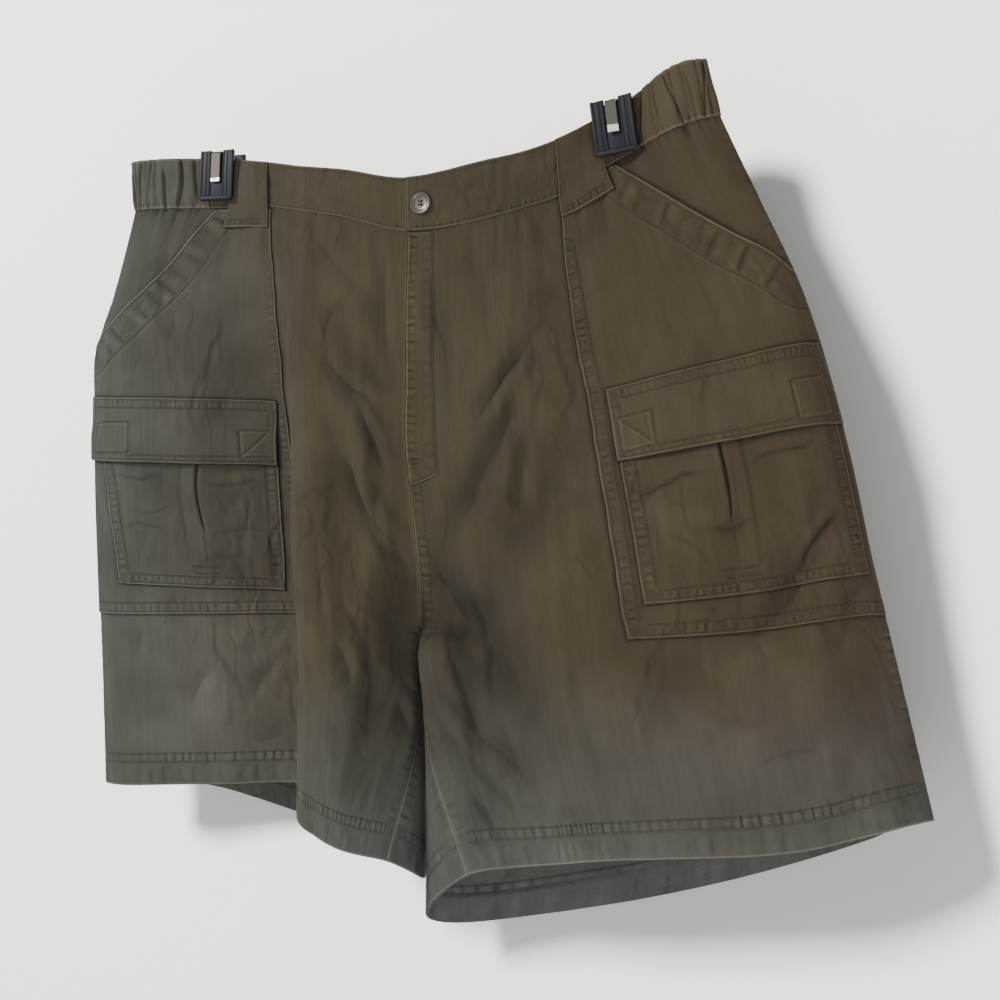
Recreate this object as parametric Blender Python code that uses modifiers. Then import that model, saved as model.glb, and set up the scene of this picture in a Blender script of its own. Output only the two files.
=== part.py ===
"""Cargo shorts hanging from the two clips of a hanger.

Each cut and sewn piece is a closed wall of cloth. The four leg panels are walls through level
sections; what is sewn onto a panel is worked out from the panel's own points, moved outwards.

Tables and sizes are in millimetres, and MM turns them into metres. +Z is up, the front of the
shorts faces -Y, and +X is to the right of someone who looks at the front. The origin is midway
between the two clips, where the hanger holds the shorts. "left" and "right" are as seen from
the front.
"""
import math

import bmesh
import bpy
import numpy as np

MM = 0.001

# ---------------------------------------------------------------- cloth and seams
GAP = 0.3            # between neighbouring pieces
SEAM = 0.2           # each panel edge stands this far off its seam line
CLOTH = 1.5          # wall of a leg panel
LAYER = 1.1          # wall of a piece sewn onto a panel
FLAP_WALL = 1.4
HEM_HEIGHT = 27.0    # turned-up hem at the leg opening
HEM_CLOTH = 2.7      # wall of the hem, where the cloth lies double
BAND_OUT = 1.0       # waistband face in front of the panels
BAND_WALL = 2.6      # waistband wall, cloth lying double
PANEL_DROP = 495.0   # waist seam to hem along the side
HALF_GIRTH = 600.0   # mean length of a section, centre front to centre back

# ---------------------------------------------------------------- level sections
# A level is a fraction of the drop from the waist seam (0) to the hem (1).
LEVELS = (0.0, 0.14, 0.24, 0.33, 0.50, 0.63, 0.80, 1.0)
CROTCH = 0.63        # level of the crotch point, where the four panels meet
CROTCH_Z = -395.0

# A station is a fraction of a half section: centre front or inseam (0), round the side
# seam (0.5), to centre back or inseam (1). In order: inner_front, middle, fold, seam, patch,
# turn_front, side, turn_back, back_side, back_middle, back_inner, wrap, inner_back.
STATIONS = (0.0, 0.11, 0.20, 0.25, 0.365, 0.485, 0.5, 0.515, 0.60, 0.72, 0.83, 0.93, 1.0)
SIDE = 0.5
TURN = 8.0           # how far the cloth rounds off at the side seam

# Front sections, x and y of each station, one row per level.
#   inner_front   middle      fold        seam        patch
FRONT_LEFT = (
    (15, -32, -45, -24, -92, -15, -120, -9, -172, -2.1),
    (14, -37, -42, -34, -92, -25, -120, -8, -196, -11),
    (13, -38, -40, -39, -89, -34, -121, 0, -206, -12),
    (11, -38, -38, -42, -86, -40, -121, 8, -211, -9),
    (12, -25, -34, -41, -80, -48, -118, 18, -214, 0),
    (0.5, 5, -32, -40, -74, -52, -114, 22, -213, 5),
    (-2, -3, -38, -48, -69, -59, -110, 25, -210, 9),
    (-22, -24, -50, -55, -71, -62, -107, 25, -208, 12),
)
FRONT_RIGHT = (
    (15, -32, 80, -29, 106, -22, 134, -14, 178, -2.1),
    (14, -37, 87, -40, 114, -35, 143, -24, 218, -22),
    (13, -38, 91, -46, 120, -43, 152, -33, 238, -33),
    (11, -38, 95, -52, 126, -49, 161, -40, 252, -40),
    (12, -25, 103, -56, 136, -55, 177, -49, 268, -45),
    (0.5, 5, 110, -60, 145, -59, 187, -54, 278, -48),
    (17, -12, 119, -62, 156, -62, 199, -58, 292, -50),
    (61, -35, 139, -64, 178, -64, 216, -62, 305, -48),
)
# Side seam, x and y, one pair per level.
SIDE_LEFT = ((-258, -8), (-281, -9), (-301, -9), (-304, -8), (-307, -5), (-308, -2), (-308, 1),
             (-308, 3))
SIDE_RIGHT = ((261, -26), (291, -28), (312, -28), (326, -26), (344, -18), (354, -10), (370, -1),
              (389, 5))
# Back sections, x and y of each station, one row per level.
#   back_side   back_middle   back_inner   wrap   inner_back
BACK_LEFT = (
    (-228, 8, -172, 2.1, -90, 16, -30, 23, 15, 25),
    (-242, 14, -174, 19, -90, 29, -30, 34, 15, 35),
    (-255, 17, -178, 27, -90, 37, -30, 42, 14, 43),
    (-262, 19, -181, 33, -90, 43, -30, 49, 13, 50),
    (-268, 23, -185, 41, -95, 51, -32, 56, 12, 57),
    (-268, 27, -185, 46, -95, 55, -26, 47, 0.5, 5),
    (-264, 31, -182, 51, -88, 57, -3, 28, -2, -3),
    (-254, 35, -165, 57, -65, 60, -8.5, 20, -22, -24),
)
BACK_RIGHT = (
    (234, -3, 178, 2.1, 100, 16, 50, 22, 15, 25),
    (260, 0, 190, 17, 105, 30, 52, 34, 15, 35),
    (281, 4, 200, 27, 111, 39, 54, 42, 14, 43),
    (296, 10, 210, 35, 116, 45, 55, 49, 13, 50),
    (314, 19, 224, 46, 125, 54, 58, 58, 12, 57),
    (322, 26, 234, 53, 132, 60, 36, 49, 0.5, 5),
    (330, 34, 243, 61, 134, 66, 5, 24, 17, -12),
    (342, 40, 240, 63, 118, 70, -1, 18, 61, -35),
)
# Height of the waist seam, of the hem and of the waistband's top edge at each station.
HEIGHTS_LEFT = {
    "waist": (-87, -68, -55, -48, -41, -36, -35, -36, -38, -41, -60, -74, -84),
    "hem": (-577, -562, -548, -531, -532, -533, -533, -533, -534, -555, -588, -600, -577),
    "top": (-45, -29, -18, -11, 1, 7, 8, 7, 5, 1, -14, -31, -42),
}
HEIGHTS_RIGHT = {
    "waist": (-87, -84, -78, -70, -45, -31, -30, -31, -37, -45, -64, -76, -84),
    "hem": (-579, -561, -556, -553, -546, -530, -530, -530, -552, -592, -625, -632, -579),
    "top": (-45, -39, -35, -27, -5, 13, 13, 13, 14, -5, -25, -36, -42),
}
# Top edge of the waistband, x and y, in the order of the stations without the turns.
TOP_LEFT = (15, -32, -46, -24, -93, -15, -120, -9, -172, -2.1, -261, -8,
            -230, 7, -172, 2.1, -90, 15, -30, 22, 15, 24)
TOP_RIGHT = (15, -32, 80, -29, 106, -23, 132, -15, 178, -2.1, 251, -25,
             228, -6, 178, 2.1, 100, 15, 50, 21, 15, 24)

# Largest folds: half, station and level at both ends, half width, height (outwards is +).
FOLDS = (
    ("left", 0.135, 0.30, 0.110, 0.80, 16.0, -5.0),
    ("left", 0.085, 0.10, 0.060, 0.62, 15.0, 4.0),
    ("left", 0.040, 0.55, 0.085, 0.96, 14.0, -5.0),
    ("left", 0.330, 0.74, 0.290, 0.97, 15.0, -4.0),
    ("right", 0.190, 0.30, 0.060, 0.68, 17.0, -6.0),
    ("right", 0.245, 0.42, 0.150, 0.88, 20.0, 5.0),
    ("right", 0.090, 0.62, 0.120, 0.98, 14.0, -5.0),
    ("right", 0.440, 0.56, 0.330, 0.86, 16.0, -5.0),
    ("left", 0.700, 0.08, 0.800, 0.60, 22.0, 6.0),
    ("left", 0.880, 0.40, 0.780, 0.98, 22.0, -6.0),
    ("left", 0.620, 0.45, 0.660, 0.99, 22.0, 6.0),
    ("right", 0.690, 0.08, 0.800, 0.62, 22.0, 6.0),
    ("right", 0.860, 0.45, 0.760, 0.99, 24.0, -7.0),
    ("right", 0.620, 0.40, 0.650, 0.99, 22.0, 6.0),
)
FOLD_CLEAR = 0.035   # folds fade out this far from a seam, as a fraction of a half section

# ---------------------------------------------------------------- waistband
ELASTIC_FRONT = 0.385      # the elastic part of the band runs between these stations
ELASTIC_BACK = 0.655
GATHERS = 18               # gathers in one elastic part
GATHER_HEIGHT = 1.3
BAND_ROWS = (0.018, 0.25, 0.5, 0.75, 1.0)   # heights up the band, clear of the waist seam
UNDERLAP = 0.055           # the button end runs on under the other end

# ---------------------------------------------------------------- hip patch and cargo pocket
# One row for each side of the shorts, as stations (s) and levels (v).
PATCHES = {
    # edge and mouth, where the hand opening starts at the waist, are stations; the rest are
    # levels: the opening reaches the side at mouth_end and bows down by bow on the way
    "left": {"edge": 0.252, "mouth": 0.376, "mouth_end": 0.232, "bow": 0.028,
             "foot_front": 0.704, "foot_side": 0.699},
    "right": {"edge": 0.249, "mouth": 0.356, "mouth_end": 0.238, "bow": 0.013,
              "foot_front": 0.687, "foot_side": 0.716},
}
PATCH_SIDE = 0.4975  # the patch ends just before the side seam
PATCH_TOP = 0.004
# Pocket and flap corners: station and level, upper front, upper side, lower side, lower front.
POCKETS = {
    "left": ((0.273, 0.405), (0.470, 0.405), (0.451, 0.646), (0.280, 0.663)),
    "right": ((0.269, 0.400), (0.490, 0.415), (0.488, 0.659), (0.270, 0.641)),
}
FLAPS = {
    "left": ((0.266, 0.332), (0.4955, 0.320), (0.4955, 0.431), (0.274, 0.4435)),
    "right": ((0.268, 0.3205), (0.4935, 0.337), (0.4945, 0.451), (0.268, 0.431)),
}
POCKET_SWELL = 1.6    # extra thickness in the middle of a cargo pocket
PLEAT_AT = 0.41       # place of the slit across the pocket, from its front edge
PLEAT_WIDTH = 0.030   # half width of the sunk strip
FLAP_STEP = (0.36, 0.395)   # between these levels the flap climbs from the patch onto the pocket

# ---------------------------------------------------------------- loops, fly, zip, button
LOOPS = {
    # stations of both edges, and level of the lower end
    "left": (0.257, 0.349, 0.036),
    "right": (0.250, 0.338, 0.038),
}
LOOP_WALL = 1.3
LOOP_ROWS = (1.0, 0.7, 0.35, 0.05)   # places up the band where a loop's rows lie
LOOP_LIFT = 0.6       # free height between a belt loop and the band
BACK_LOOP_HALF = 0.030
BACK_LOOP_FOOT = 0.035
FLY_START = 0.002
FLY_WALL = 1.0
FLY_WIDTH = 0.037
FLY_TURN = 0.34       # below this level the fly's edge curves in to the centre
FLY_FOOT = 0.405
ZIP_HALF = 0.024
ZIP_FOOT = 0.36
ZIP_TAPE = 1.0
ZIP_CHAIN = 0.9
BUTTON_RADIUS = 8.8
BUTTON_THICK = 2.6
BUTTON_RIM = 1.4
BUTTON_HOLE = 1.0
BUTTON_HOLE_PITCH = 1.9
BUTTON_STATION = 0.022
BUTTON_HEIGHT = 0.48  # up the waistband, 0 at the waist seam

# ---------------------------------------------------------------- hanger clips
CLIPS = {
    # x and z of the middle of the jaws' top edge, and how far its right end leans down
    "left": (-172.0, 6.5, 4.0),
    "right": (175.5, -0.5, -6.0),
}
CLIP_WIDTH = 33.0
CLIP_HEIGHT = 43.0
CLIP_THICK = 3.4
CLIP_TAPER = 0.92     # width at the lower end against the upper end
CLIP_BEVEL = 1.1
NOTCH_WIDTH = 11.0    # the spring passes over the jaws in a notch in their top edges
NOTCH_DEPTH = 4.0
SPRING_WIDTH = 8.5
SPRING_THICK = 0.8
SPRING_LEG = 27.0
SPRING_RISE = 0.5     # free height between the spring and the notch
SPRING_ARCH = 0.22    # height of the bend over the jaws against half their spacing

# ---------------------------------------------------------------- mesh fineness
FRONT_COLUMNS = (0.0, 0.03, 0.07, 0.11, 0.15, 0.18, 0.20, 0.215, 0.23, 0.25, 0.285, 0.325, 0.365,
                 0.41, 0.45, 0.475, 0.49, 0.5)
BACK_COLUMNS = (0.5, 0.51, 0.525, 0.55, 0.60, 0.64, 0.68, 0.72, 0.76, 0.80, 0.84, 0.88, 0.91, 0.93,
                0.95, 0.975, 1.0)
PANEL_ROWS = (0.0, 0.04, 0.09, 0.14, 0.19, 0.24, 0.30, 0.36, 0.42, 0.48, 0.54, 0.59, 0.63, 0.67,
              0.73, 0.79, 0.85, 0.90, 0.944, 0.948, 1.0)
BUTTON_SIDES = 32

# ---------------------------------------------------------------- materials
MATERIALS = {
    # base colour, roughness, metallic
    "twill": ((0.088, 0.072, 0.052), 0.90, 0.0),
    "twill_band": ((0.082, 0.067, 0.049), 0.90, 0.0),
    "twill_pocket": ((0.076, 0.064, 0.046), 0.90, 0.0),
    "horn": ((0.300, 0.220, 0.140), 0.38, 0.0),
    "black_plastic": ((0.012, 0.013, 0.015), 0.42, 0.0),
    "steel": ((0.560, 0.570, 0.580), 0.28, 1.0),
    "zip_metal": ((0.420, 0.350, 0.200), 0.40, 0.9),
}


# ================================================================ curves and surfaces
def weights(knots, at):
    """Share of each knot's value in a smooth curve through the knots, at each place asked."""
    knots = np.asarray(knots, float)
    at = np.asarray(at, float)
    step = np.diff(knots)
    unit = np.eye(len(knots))
    slope = np.diff(unit, axis=0) / step[:, None]
    tangent = np.vstack([slope[:1], (slope[:-1] + slope[1:]) / 2, slope[-1:]])
    i = np.clip(np.searchsorted(knots, at, side="right") - 1, 0, len(knots) - 2)
    width = step[i][:, None]
    t = ((at - knots[i]) / step[i])[:, None]
    return ((1 + 2 * t) * (1 - t) ** 2 * unit[i] + t * (1 - t) ** 2 * width * tangent[i]
            + t * t * (3 - 2 * t) * unit[i + 1] + t * t * (t - 1) * width * tangent[i + 1])


def smooth(t):
    """Soft step from 0 to 1."""
    t = np.clip(t, 0.0, 1.0)
    return t * t * (3 - 2 * t)


def unit_vectors(vectors):
    """Vectors of length 1."""
    return vectors / np.maximum(np.linalg.norm(vectors, axis=-1, keepdims=True), 1e-9)


def with_turns(front, side, back):
    """The 13 stations of one section: both turns stand close to the side seam."""
    front = np.asarray(front, float).reshape(5, 2)
    back = np.asarray(back, float).reshape(5, 2)
    side = np.asarray(side, float)
    across = np.array((0.0, 1.0))
    turn_front = side + 0.8 * TURN * unit_vectors(front[4] - side) - 0.55 * TURN * across
    turn_back = side + 0.8 * TURN * unit_vectors(back[0] - side) + 0.25 * TURN * across
    return np.vstack([front, turn_front, side, turn_back, back])


def half_table(fronts, sides, backs, heights):
    """Stations of every level of one half: x, y and z."""
    plan = np.array([with_turns(f, s, b) for f, s, b in zip(fronts, sides, backs)])
    waist = np.asarray(heights["waist"], float)
    hem = np.asarray(heights["hem"], float)
    level = np.array(LEVELS)[:, None]
    z = waist * (1 - level) + hem * level
    down = level[:, 0]
    for k in (0, 12):
        upper = waist[k] + (CROTCH_Z - waist[k]) * down / CROTCH
        lower = CROTCH_Z + (hem[k] - CROTCH_Z) * (down - CROTCH) / (1 - CROTCH)
        z[:, k] = np.where(down <= CROTCH, upper, lower)
    return np.concatenate([plan, z[..., None]], axis=2)


def top_table(row, heights):
    """Stations of the waistband's top edge of one half."""
    plan = with_turns(row[:10], row[10:12], row[12:])
    return np.column_stack([plan, np.asarray(heights["top"], float)])


HALVES = {
    "left": half_table(FRONT_LEFT, SIDE_LEFT, BACK_LEFT, HEIGHTS_LEFT),
    "right": half_table(FRONT_RIGHT, SIDE_RIGHT, BACK_RIGHT, HEIGHTS_RIGHT),
}
TOPS = {"left": top_table(TOP_LEFT, HEIGHTS_LEFT), "right": top_table(TOP_RIGHT, HEIGHTS_RIGHT)}
OTHER = {"left": "right", "right": "left"}


def stations_at(half, v):
    """The 13 stations at each level asked; the inner seams bend sharply at the crotch."""
    table = HALVES[half]
    share = weights(LEVELS, v)
    points = np.einsum("mj,jkc->mkc", share, table)
    levels = np.array(LEVELS)
    upper = np.flatnonzero(levels <= CROTCH)
    lower = np.flatnonzero(levels >= CROTCH)
    over = weights(levels[upper], np.minimum(v, CROTCH))
    under = weights(levels[lower], np.maximum(v, CROTCH))
    for k in (0, 12):
        above = over @ table[upper, k]
        below = under @ table[lower, k]
        points[:, k] = np.where((v <= CROTCH)[:, None], above, below)
    return points


def through(points, before, after, s):
    """Smooth curve through each row's 13 stations; before and after shape its two ends."""
    row = np.arange(len(s))
    chain = np.concatenate([before[:, None], points, after[:, None]], axis=1)
    stations = np.array(STATIONS)
    i = np.clip(np.searchsorted(stations, s, side="right") - 1, 0, len(stations) - 2)
    t = ((s - stations[i]) / (stations[i + 1] - stations[i]))[:, None]
    p0, p1, p2, p3 = (chain[row, i + k] for k in range(4))
    d0, d1, d2 = (np.maximum(np.linalg.norm(b - a, axis=1, keepdims=True), 1e-6)
                  for a, b in ((p0, p1), (p1, p2), (p2, p3)))
    start = (d1 * (p1 - p0) / d0 + d0 * (p2 - p1) / d1) / (d0 + d1) * d1
    end = (d2 * (p2 - p1) / d1 + d1 * (p3 - p2) / d2) / (d1 + d2) * d1
    return ((1 + 2 * t) * (1 - t) ** 2 * p1 + t * (1 - t) ** 2 * start
            + t * t * (3 - 2 * t) * p2 + t * t * (t - 1) * end)


def fold_height(half, s, v):
    """Height of all folds of one half at each point, outwards."""
    height = np.zeros_like(s)
    for side, s0, v0, s1, v1, width, peak in FOLDS:
        if side != half:
            continue
        run = np.array(((s1 - s0) * HALF_GIRTH, (v1 - v0) * PANEL_DROP))
        dx = (s - s0) * HALF_GIRTH
        dz = (v - v0) * PANEL_DROP
        along = (dx * run[0] + dz * run[1]) / (run @ run)
        off = (dx * run[1] - dz * run[0]) / math.hypot(*run)
        height += peak * np.exp(-((off / width) ** 2)) * smooth(along / 0.3) * smooth((1 - along) / 0.3)
    clear = np.minimum(np.minimum(s, 1 - s), np.abs(s - SIDE))
    return height * smooth(clear / FOLD_CLEAR)


def surface(half, s, v):
    """Outer face of the leg panels at stations s and levels v."""
    s, v = np.broadcast_arrays(np.asarray(s, float), np.asarray(v, float))
    shape = s.shape
    s = s.ravel()
    v = v.ravel()
    own = stations_at(half, v)
    other = stations_at(OTHER[half], v)
    leg = smooth((v - CROTCH + 0.05) / 0.18)[:, None]
    before, after = other[:, 1].copy(), other[:, 11].copy()
    valley = smooth((v - CROTCH + 0.13) / 0.13)
    for end, beyond in ((0, before), (12, after)):
        beyond[:, 1] += valley * (own[:, end, 1] - beyond[:, 1])
    before = before * (1 - leg) + own[:, 11] * leg
    after = after * (1 - leg) + own[:, 1] * leg
    points = through(own, before, after, s)
    outwards = np.where(s < SIDE, -1.0, 1.0)
    points[:, 1] += outwards * fold_height(half, s, v)
    return points.reshape(shape + (3,))


def band_surface(half, s, w):
    """Middle face of the waistband: w is 0 at the waist seam and 1 at the top edge."""
    s, w = np.broadcast_arrays(np.asarray(s, float), np.asarray(w, float))
    shape = s.shape
    s = s.ravel()
    foot = surface(half, s, np.zeros_like(s))
    own = np.repeat(TOPS[half][None], len(s), axis=0)
    other = np.repeat(TOPS[OTHER[half]][None], len(s), axis=0)
    head = through(own, other[:, 1], other[:, 11], s)
    points = foot + (head - foot) * w.ravel()[:, None]
    return points.reshape(shape + (3,))


def normals(face, half, s, v):
    """Outward normals of a face function."""
    step = 0.0015
    s, v = np.broadcast_arrays(np.asarray(s, float), np.asarray(v, float))
    s_low = np.maximum(s - step, 0.0)
    s_high = np.minimum(s + step, 1.0)
    along = face(half, s_high, v) - face(half, s_low, v)
    if face is surface:
        up = face(half, s, np.maximum(v - step, 0.0)) - face(half, s, np.minimum(v + step, 1.0))
    else:
        up = face(half, s, v + step) - face(half, s, v - step)
    turned = np.cross(along, up)
    return unit_vectors(turned if half == "right" else -turned)


def panel_normals(half, s, v):
    """Normals of a panel, shared with its neighbour along the centre seams and inseams."""
    own = normals(surface, half, s, v)
    for edge in (0.0, 1.0):
        column = np.isclose(s, edge)
        if not column.any():
            continue
        level = v[column]
        mine = own[column]
        beside = normals(surface, OTHER[half], np.full(level.shape, edge), level)
        behind = normals(surface, half, np.full(level.shape, 1 - edge), level)
        shared = unit_vectors(mine + np.where((level < CROTCH)[:, None], beside, behind))
        near = np.exp(-(((level - CROTCH) / 0.03) ** 2))[:, None]
        own[column] = unit_vectors(shared * (1 - near) + np.array((0.0, 0.0, -1.0)) * near)
    return own


def make_sheet(half, columns):
    """Facet corners of a leg panel's outer face, with their normals."""
    s, v = grid(columns, PANEL_ROWS)
    points = surface(half, s, v)
    pull_in(points, SEAM)
    points[0] += SEAM * unit_vectors(points[1] - points[0])
    return {"columns": np.array(columns), "rows": np.array(PANEL_ROWS), "points": points,
            "normals": panel_normals(half, s, v)}


def make_band_sheet(half, columns):
    """Facet corners of the waistband's middle face, with their normals."""
    s, w = grid(columns, BAND_ROWS)
    return {"columns": np.array(columns), "rows": np.array(BAND_ROWS),
            "points": band_surface(half, s, w), "normals": band_normals(half, s)}


def on_sheet(sheet, s, v):
    """Points and normals on the triangular facets of a sheet."""
    columns, rows = sheet["columns"], sheet["rows"]
    c = np.clip(np.searchsorted(columns, s, side="right") - 1, 0, len(columns) - 2)
    r = np.clip(np.searchsorted(rows, v, side="right") - 1, 0, len(rows) - 2)
    a = ((s - columns[c]) / (columns[c + 1] - columns[c]))[..., None]
    b = ((v - rows[r]) / (rows[r + 1] - rows[r]))[..., None]
    found = []
    for field in (sheet["points"], sheet["normals"]):
        start, far = field[r, c], field[r + 1, c + 1]
        beside, below = field[r, c + 1], field[r + 1, c]
        found.append(np.where(a >= b, start + a * (beside - start) + b * (far - beside),
                              start + b * (below - start) + a * (far - below)))
    return found[0], unit_vectors(found[1])


def grid(columns, rows):
    """Stations and levels of a grid: one row per level."""
    s, v = np.meshgrid(np.asarray(columns, float), np.asarray(rows, float))
    return s, v


# ================================================================ meshes
def material(name):
    """The Principled material of that name, made once."""
    if name in bpy.data.materials:
        return bpy.data.materials[name]
    colour, roughness, metallic = MATERIALS[name]
    made = bpy.data.materials.new(name)
    made.use_nodes = True
    made.diffuse_color = (*colour, 1.0)
    shader = made.node_tree.nodes["Principled BSDF"]
    shader.inputs["Base Color"].default_value = (*colour, 1.0)
    shader.inputs["Roughness"].default_value = roughness
    shader.inputs["Metallic"].default_value = metallic
    return made


def link(name, mesh, finish, collection):
    """An object of that mesh in the collection, with its material."""
    made = bpy.data.objects.new(name, mesh)
    collection.objects.link(made)
    mesh.materials.append(material(finish))
    return made


def closed_wall(name, outer, inner, triangles, finish, collection):
    """Closed wall between two lists of points that share one list of triangles."""
    shape = bmesh.new()
    front = [shape.verts.new(point * MM) for point in outer]
    rear = [shape.verts.new(point * MM) for point in inner]
    free_edges = {}
    for corners in triangles:
        shape.faces.new([front[i] for i in corners])
        shape.faces.new([rear[i] for i in reversed(corners)])
        for a, b in zip(corners, corners[1:] + corners[:1]):
            if (b, a) in free_edges:
                del free_edges[b, a]
            else:
                free_edges[a, b] = True
    for a, b in free_edges:
        shape.faces.new((front[b], front[a], rear[a], rear[b]))
    shape.normal_update()
    bmesh.ops.recalc_face_normals(shape, faces=shape.faces)
    mesh = bpy.data.meshes.new(name)
    shape.to_mesh(mesh)
    shape.free()
    mesh.shade_smooth()
    mesh.set_sharp_from_angle(angle=math.radians(50))
    return link(name, mesh, finish, collection)


def wall(name, outer, inner, finish, collection):
    """Closed wall between two grids of points of the same size, in millimetres."""
    rows, columns, _ = outer.shape
    triangles = []
    for r in range(rows - 1):
        for c in range(columns - 1):
            start = r * columns + c
            triangles.append((start, start + 1, start + columns + 1))
            triangles.append((start, start + columns + 1, start + columns))
    return closed_wall(name, outer.reshape(-1, 3), inner.reshape(-1, 3), triangles, finish, collection)


def pull_in(points, amount):
    """Move the first and last column of a grid of points inwards along its rows."""
    points[:, 0] += amount * unit_vectors(points[:, 1] - points[:, 0])
    points[:, -1] += amount * unit_vectors(points[:, -2] - points[:, -1])


def cut_facets(sheet, outline, creases=()):
    """Stations, levels and faces of a panel's facets inside an outline.

    Each line of the outline and of the creases is two (station, level) points, and may end with
    the two stations between which it cuts. An outline line keeps what lies on its right-hand
    side with levels drawn downwards; a crease only cuts.
    """
    flat = bmesh.new()
    columns, rows = sheet["columns"], sheet["rows"]
    net = [[flat.verts.new((s * HALF_GIRTH, -v * PANEL_DROP, 0)) for s in columns] for v in rows]
    for r in range(len(rows) - 1):
        for c in range(len(columns) - 1):
            flat.faces.new((net[r][c], net[r][c + 1], net[r + 1][c + 1]))
            flat.faces.new((net[r][c], net[r + 1][c + 1], net[r + 1][c]))
    for kept, lines in ((True, creases), (False, outline)):
        for (s0, v0), (s1, v1), *bounds in lines:
            bounds = [b * HALF_GIRTH for b in bounds] or None
            start = np.array((s0 * HALF_GIRTH, -v0 * PANEL_DROP, 0.0))
            run = np.array((s1 * HALF_GIRTH, -v1 * PANEL_DROP, 0.0)) - start
            faces = [face for face in flat.faces
                     if bounds is None or bounds[0] < face.calc_center_median().x < bounds[1]]
            reach = set(faces)
            for face in faces:
                reach.update(face.edges)
                reach.update(face.verts)
            bmesh.ops.bisect_plane(flat, geom=list(reach), dist=1e-4, plane_co=start,
                                   plane_no=(-run[1], run[0], 0.0), clear_outer=not kept)
    bmesh.ops.remove_doubles(flat, verts=flat.verts, dist=0.25)
    flat.verts.index_update()
    s = np.array([corner.co.x for corner in flat.verts]) / HALF_GIRTH
    v = -np.array([corner.co.y for corner in flat.verts]) / PANEL_DROP
    faces = [tuple(corner.index for corner in face.verts) for face in flat.faces]
    flat.free()
    return s, v, faces


def lay_on(name, sheet, cut, lift, thick, finish, collection):
    """Wall of cloth on a panel's facets: its underside lies lift above the panel."""
    s, v, faces = cut
    points, out = on_sheet(sheet, s, v)
    under = points + out * np.broadcast_to(lift, s.shape)[:, None]
    over = under + out * np.broadcast_to(thick, s.shape)[:, None]
    return closed_wall(name, over, under, faces, finish, collection)


# ================================================================ the pieces
def make_panel(name, half, columns, collection):
    """One leg panel, from waist seam to hem."""
    sheet = make_sheet(half, columns)
    in_hem = sheet["rows"] > 1 - HEM_HEIGHT / PANEL_DROP
    thick = np.where(in_hem, HEM_CLOTH, CLOTH)[:, None, None]
    wall(name, sheet["points"], sheet["points"] - sheet["normals"] * thick, "twill", collection)
    return sheet


def make_patch(half, sheet, collection):
    """Hip patch with the slanting hand opening; its lower part carries the cargo pocket."""
    sizes = PATCHES[half]
    edge, mouth = sizes["edge"], sizes["mouth"]
    run = PATCH_SIDE - mouth
    bend = (mouth + 0.4 * run, PATCH_TOP + 0.4 * (sizes["mouth_end"] - PATCH_TOP) + sizes["bow"])
    opening = [((mouth, PATCH_TOP), bend, 0.0, bend[0]),
               (bend, (PATCH_SIDE, sizes["mouth_end"]), bend[0], 1.0)]
    outline = [((edge, 1), (edge, 0)), ((edge, PATCH_TOP), (PATCH_SIDE, PATCH_TOP)),
               ((PATCH_SIDE, 0), (PATCH_SIDE, 1)),
               ((PATCH_SIDE, sizes["foot_side"]), (edge, sizes["foot_front"]))]
    cut = cut_facets(sheet, outline + opening, [(bend, (bend[0], 1.0))] + opening)
    lay_on(f"hip_patch_{half}", sheet, cut, GAP, LAYER, "twill", collection)


def around(corners):
    """Outline through four corners: upper front, upper side, lower side, lower front."""
    return list(zip(corners, corners[1:] + corners[:1]))


def across_line(corners, share, first=0.0, last=1.0):
    """Line down a four-cornered piece, at that share of its width from the front edge."""
    (s0, v0), (s1, v1), (s2, v2), (s3, v3) = corners
    head = np.array((s0 + (s1 - s0) * share, v0 + (v1 - v0) * share))
    foot = np.array((s3 + (s2 - s3) * share, v3 + (v2 - v3) * share))
    return tuple(head + (foot - head) * first), tuple(head + (foot - head) * last)


def inside_share(corners, s, v):
    """Shares across (from the front edge) and down a four-cornered piece."""
    (s0, v0), (s1, v1), (s2, v2), (s3, v3) = corners
    down = (v - (v0 + v1) / 2) / ((v3 + v2) / 2 - (v0 + v1) / 2)
    front = s0 + (s3 - s0) * down
    rear = s1 + (s2 - s1) * down
    return (s - front) / (rear - front), down


def make_cargo_pocket(half, sheet, collection):
    """Cargo pocket with one inverted pleat, swelling a little in the middle."""
    corners = POCKETS[half]
    shares = (0.06, PLEAT_AT - PLEAT_WIDTH, PLEAT_AT, PLEAT_AT + PLEAT_WIDTH, 0.94)
    creases = [across_line(corners, share) for share in shares]
    cut = cut_facets(sheet, around(corners), creases)
    across, down = inside_share(corners, cut[0], cut[1])
    swell = smooth((np.minimum(across, 1 - across) - 0.05) / 0.2) * smooth((down - 0.26) / 0.2)
    swell *= smooth((1 - down) / 0.3)
    sunk = np.clip(1 - np.abs(across - PLEAT_AT) / PLEAT_WIDTH, 0, 1) * smooth((0.85 - down) / 0.3)
    thick = LAYER + POCKET_SWELL * swell * (1 - sunk)
    lay_on(f"cargo_pocket_{half}", sheet, cut, 2 * GAP + LAYER, thick, "twill_pocket", collection)


def make_flap(half, sheet, collection):
    """Flap over the mouth of the cargo pocket; it lies on the pocket below and the patch above."""
    steps = [((0.0, level), (1.0, level)) for level in FLAP_STEP]
    cut = cut_facets(sheet, around(FLAPS[half]), steps)
    over_patch = 2 * GAP + LAYER
    over_pocket = over_patch + GAP + LAYER
    climb = np.clip((cut[1] - FLAP_STEP[0]) / (FLAP_STEP[1] - FLAP_STEP[0]), 0, 1)
    lift = over_patch + (over_pocket - over_patch) * climb
    lay_on(f"cargo_flap_{half}", sheet, cut, lift, FLAP_WALL, "twill_pocket", collection)


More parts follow.
